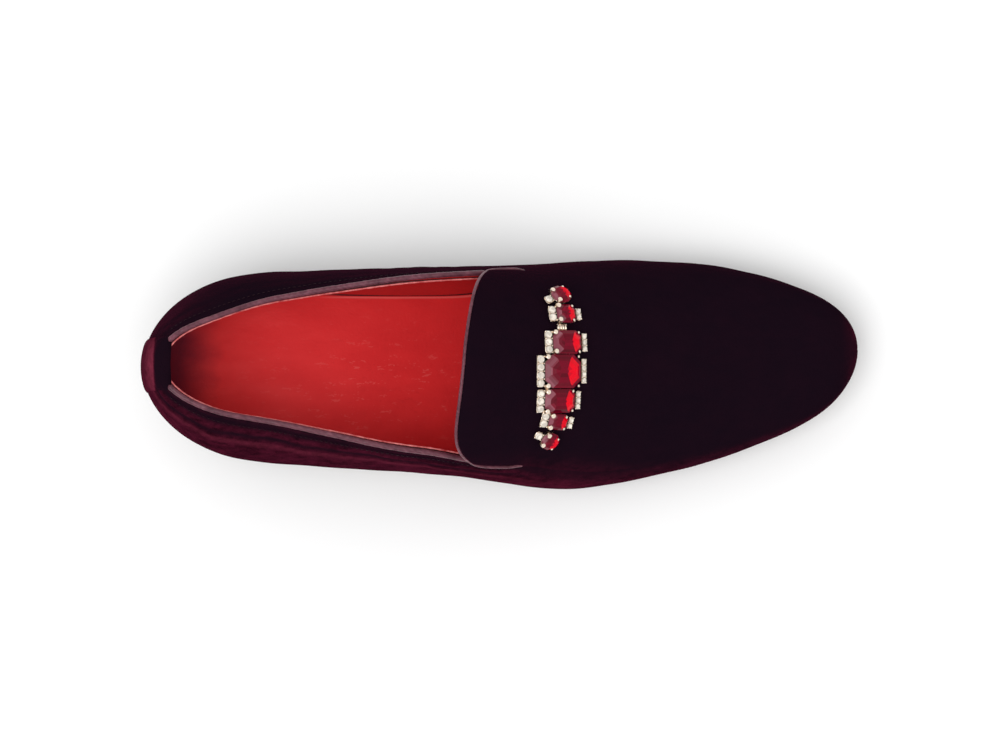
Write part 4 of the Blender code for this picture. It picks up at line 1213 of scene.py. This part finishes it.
def buildStoneBody(number, stone, origin, axes):
    # steps from the foot of the pavilion to the girdle, which covers the tray's lip, and up the crown, then
    # rings in the flat table; a facet gets painted light on the toe's side, a painted pale reflection on the
    # heel's, and is dark between
    shape = trimShape
    crown = shape["crown"]
    rest = shape["clearance"] + shape["floor"] + 0.0001
    girdle = shape["height"] + 0.0001
    top = girdle + crown
    length, width = stone["length"] + shape["overLength"], stone["width"] + shape["overWidth"]
    foot = (length - stone["length"]) / 2 + shape["wall"] + 0.0001
    # shares of the width, insets and heights
    steps = ((0.30, foot, rest), (0.85, foot, girdle - 0.0002), (1.0, 0.0, girdle),
             (1.0, 0.0, girdle + 0.00025), (0.86, 0.0, girdle + 0.45 * crown),
             (0.72, 0.0, girdle + 0.82 * crown), (0.62, 0.0, top),
             (0.36, 0.0, top - 0.00002), (0.12, 0.0, top - 0.00003))
    rings = []
    for share, less, height in steps:
        inset = (1 - share) * width + 2 * less
        if stone["round"]:
            ring = ovalRing(length - inset, width - inset, 12)
        else:
            ring = octagon(length - inset, width - inset, min(0.24 * width, 0.34 * (width - inset)))
        rings.append(ring + np.array([shape["overLength"] / 3, 0, height]))
    points, faces = localLoft(rings)
    centres = faceCentres(points, faces)
    row = np.concatenate([np.repeat(np.arange(len(rings) - 1), len(rings[0])), [0, len(rings)]])
    ahead, beside = centres[:, 0] / (length / 2), np.abs(centres[:, 1]) / (width / 2)
    noise = scatter(len(row), number)
    toeward = ease(0.15, 0.45, ahead) * (1 - ease(0.45, 0.85, beside)) * (1 - ease(0.80, 0.92, ahead))
    paintedFacetLight = 0.20 + 0.28 * noise + np.where(row >= 4, 0.95, 0.30) * toeward - 0.10 * (row == 4)
    paintedReflection = np.where(row >= 6, 0.12 * ease(0.25, 0.5, -ahead), ease(0.40, 0.62, -ahead))
    makePiece(f"stone{number}", origin + points @ axes, faces, redGlass, (f"stone_{number}",), 8,
              {"paintedFacetLight": np.clip(paintedFacetLight, 0, 1), "paintedReflection": paintedReflection * (0.45 + 0.55 * noise)})


def claw(x, y, low, high, size, lean):
    # a tapering post with a round nail head that leans over the stone's corner
    turn = np.arange(8) * np.pi / 4
    ring = np.stack([np.cos(turn), np.sin(turn), 0 * turn], axis=1)
    inward = np.array([-np.sign(x), -np.sign(y), 0]) * lean
    rows = ((0.0, 0.9, 0.0), (0.6, 0.9, 0.0), (0.8, 0.85, 0.35), (0.93, 1.0, 0.8), (1.0, 0.75, 1.0),
            (1.04, 0.3, 1.05))  # share of the height, of the size and of the lean
    return localLoft([ring * size * wide + np.array([x, y, low + share * (high - low)]) + inward * over
                      for share, wide, over in rows])


def buildSetting(number, stone, origin, axes):
    # a tray with a flared foot and a polished lip, and four claws, stouter on the heel's side
    shape = trimShape
    low, wall, height = shape["clearance"], shape["wall"], shape["height"]
    profile = ((0.0003, low), (0.0, low + 0.0003), (0.00012, 0.0013), (0.0, height - 0.0002),
               (0.0001, height), (wall - 0.0001, height), (wall, height - 0.0002),
               (wall + 0.0001, low + shape["floor"]))
    rings = []
    for inset, level in profile:
        length, width = stone["length"] - 2 * inset, stone["width"] - 2 * inset
        ring = ovalRing(length, width, 16) if stone["round"] else octagon(length, width, 0.22 * width)
        rings.append(ring + np.array([0, 0, level]))
    parts = [localLoft(rings)]
    x, y = ((0.72 * half if stone["round"] else half - shape["clawIn"])
            for half in (stone["length"] / 2, stone["width"] / 2))
    for sx, sy in ((1, 1), (-1, 1), (-1, -1), (1, -1)):
        size, more = shape["heelClaw"] if sx < 0 else shape["toeClaw"]
        parts.append(claw(sx * x, sy * y, height - 0.0006, shape["prong"] + more, size, 0.0004))
    points, faces = joined(parts)
    makePiece(f"setting{number}", origin + points @ axes, faces, gold,
              (f"setting_{number}",), 35)


def brilliant(length, width, low, high):
    # a cushion-shaped stone: pavilion, girdle, eight crown facets and a table turned half a step
    turn = np.arange(8) * np.pi / 4 + np.pi / 8
    square = 1 / np.maximum(np.maximum(np.abs(np.cos(turn)), np.abs(np.sin(turn))), 0.80)
    rings = []
    steps = ((0.35, 0.0, 0.5), (1.0, 0.45, 0.0), (1.0, 0.55, 0.0), (0.80, 0.86, 0.5), (0.48, 1.0, 0.0))
    for share, height, half in steps:
        angle = turn + half * np.pi / 4
        reach = share * (square if half == 0.0 else 1.04)
        rings.append(np.stack([length / 2 * reach * np.cos(angle), width / 2 * reach * np.sin(angle),
                               np.full(8, low + height * (high - low))], axis=1))
    return localLoft(rings)


def buildCrystals(number, name, way, count, size, stone, origin, axes):
    # crystals side by side on a gold rail, each held by beads at its corners
    shape = trimShape
    pitch = min(size, stone["width"] / count)
    place = way * (stone["length"] / 2 + shape["gap"] + size / 2) + (shape["overLength"] if way > 0 else 0.0)
    centres = (np.arange(count) - (count - 1) / 2) * pitch
    across = size * (0.94 if way < 0 else 0.74)
    low, length = shape["clearance"], pitch * count
    top = low + shape["rail"] + shape["crystalHeight"]
    gems = []
    for k, y in enumerate(centres):
        points, faces = brilliant(across, pitch * 0.95, low + 0.0007, top + 0.0001 * (k % 2))
        gems.append((points + np.array([place, y, 0]), faces))
    rail = [octagon(across * wide, length, 0.2 * size) + np.array([place, 0, height])
            for wide, height in ((0.75, low), (0.90, low + 0.0003), (0.92, 0.0013), (0.85, 0.0014))]
    posts = [localLoft(rail)]
    beads, reach = shape["bead"], length / 2 - shape["bead"]
    for y in np.clip(np.append(centres - pitch / 2, centres[-1] + pitch / 2), -reach, reach):
        for sx in (-1, 1):
            posts.append(claw(place + sx * across * 0.47, y, 0.0012, 0.0024, beads, 0.0001))
    points, faces = joined(gems)
    # painted reflections: pale or greyer at random for each facet
    paintedFacetLight = 0.45 + 0.55 * scatter(sum(len(part) for part in faces), number + 3 * way)
    makePiece(f"crystals{number}{name}", origin + points @ axes, faces, crystal,
              (f"crystals_{number}_{name}",), 10, {"paintedFacetLight": paintedFacetLight})
    points, faces = joined(posts)
    makePiece(f"crystalRail{number}{name}", origin + points @ axes, faces, gold, (), 35)


def buildLink(one, other):
    # a coil spring on a bar, half way between two stones: a helix round the line between them
    shape = trimShape
    link = {key: (one[key] + other[key]) / 2 for key in ("along", "across", "turn")}
    origin, axes = trimFrame(link)
    apart = np.linalg.norm(trimFrame(one)[0] - trimFrame(other)[0])
    span = apart - (one["width"] + other["width"]) / 2
    turn = np.linspace(0, 8 * np.pi, 130)
    helix = np.stack([np.linspace(-0.5, 0.5, 130) * shape["link"] + shape["linkBack"],
                      0.00125 * np.cos(turn), 0.0019 + 0.0010 * np.sin(turn)], axis=1)
    coil = loft(tubeRings(helix, shape["wire"], 7, up=(1.0, 0.0, 0.0)))
    bar = [octagon(0.0014, span, 0.0003) + np.array([shape["linkBack"], 0, z]) for z in (0.0004, 0.0007)]
    points, faces = joined([coil, localLoft(bar)])
    makePiece("link23", origin + points @ axes, faces, gold, ("link_2_3",), 40)


def buildTrim():
    # each stone of the chain with its setting and crystals, and the link between the second and the third
    shape = trimShape
    chain = [dict(zip(stoneColumns, values)) for values in stones]
    for number, stone in enumerate(chain, start=1):
        origin, axes = trimFrame(stone)
        buildSetting(number, stone, origin, axes)
        buildStoneBody(number, stone, origin, axes)
        for name, way in (("heel", -1), ("toe", 1)):
            if stone[name + "Crystals"]:
                buildCrystals(number, name, way, stone[name + "Crystals"], shape[name + "Crystal"], stone,
                              origin, axes)
    buildLink(chain[1], chain[2])
    print("trim set")


buildTrim()

# Floor, light and camera. The camera stands nearly straight above, a little to the lateral side.
stage = {"floorSize": 4.0, "floor": (0.93, 0.93, 0.93), "surround": 0.86,
         "lights": {"key": ((-0.28, -0.30, 1.25), 7.5, 0.8)}}  # place, power and width
view = {"aim": (-0.00123, -0.00044, 0.025), "distance": 1.2, "tilt": 2.5, "lens": 103.3}


def buildStage():
    # a pale floor, an even white surround and one large soft light from the heel's lateral side
    mesh = bpy.data.meshes.new("floor")
    size = stage["floorSize"]
    corners = [(x * size, y * size, 0) for x, y in ((-1, -1), (1, -1), (1, 1), (-1, 1))]
    mesh.from_pydata(corners, [], [(0, 1, 2, 3)])
    material, _, _ = newMaterial("paleFloor", {"Base Color": stage["floor"], "Roughness": 0.9,
                                               "Specular IOR Level": 0.1})
    mesh.materials.append(material)
    floor = bpy.data.objects.new("floor", mesh)
    bpy.context.scene.collection.objects.link(floor)
    world = bpy.data.worlds.new("studio")
    bpy.context.scene.world = world
    world.use_nodes = True
    world.node_tree.nodes["Background"].inputs["Color"].default_value = (1.0, 1.0, 1.0, 1.0)
    world.node_tree.nodes["Background"].inputs["Strength"].default_value = stage["surround"]
    for name, (place, power, width) in stage["lights"].items():
        data = bpy.data.lights.new(name, "AREA")
        data.energy, data.size = power, width
        light = bpy.data.objects.new(name, data)
        light.location = place
        light.rotation_euler = lookAt(place, (0, 0, 0.03))
        bpy.context.scene.collection.objects.link(light)


def lookAt(place, target):
    return (Vector(target) - Vector(place)).to_track_quat("-Z", "Y").to_euler()


def buildCamera():
    # behind the aim by the distance, tilted from the vertical to the lateral side
    tilt = np.radians(view["tilt"])
    aim = np.array(view["aim"])
    data = bpy.data.cameras.new("camera")
    data.lens, data.sensor_width = view["lens"], 36.0
    data.clip_start, data.clip_end = 0.01, 20.0
    camera = bpy.data.objects.new("camera", data)
    camera.location = aim + view["distance"] * np.array([0, -np.sin(tilt), np.cos(tilt)])
    camera.rotation_euler = (tilt, 0, 0)
    bpy.context.scene.collection.objects.link(camera)
    bpy.context.scene.camera = camera


buildStage()
buildCamera()
bpy.context.scene.view_settings.view_transform = "Standard"
print("stage and camera set")
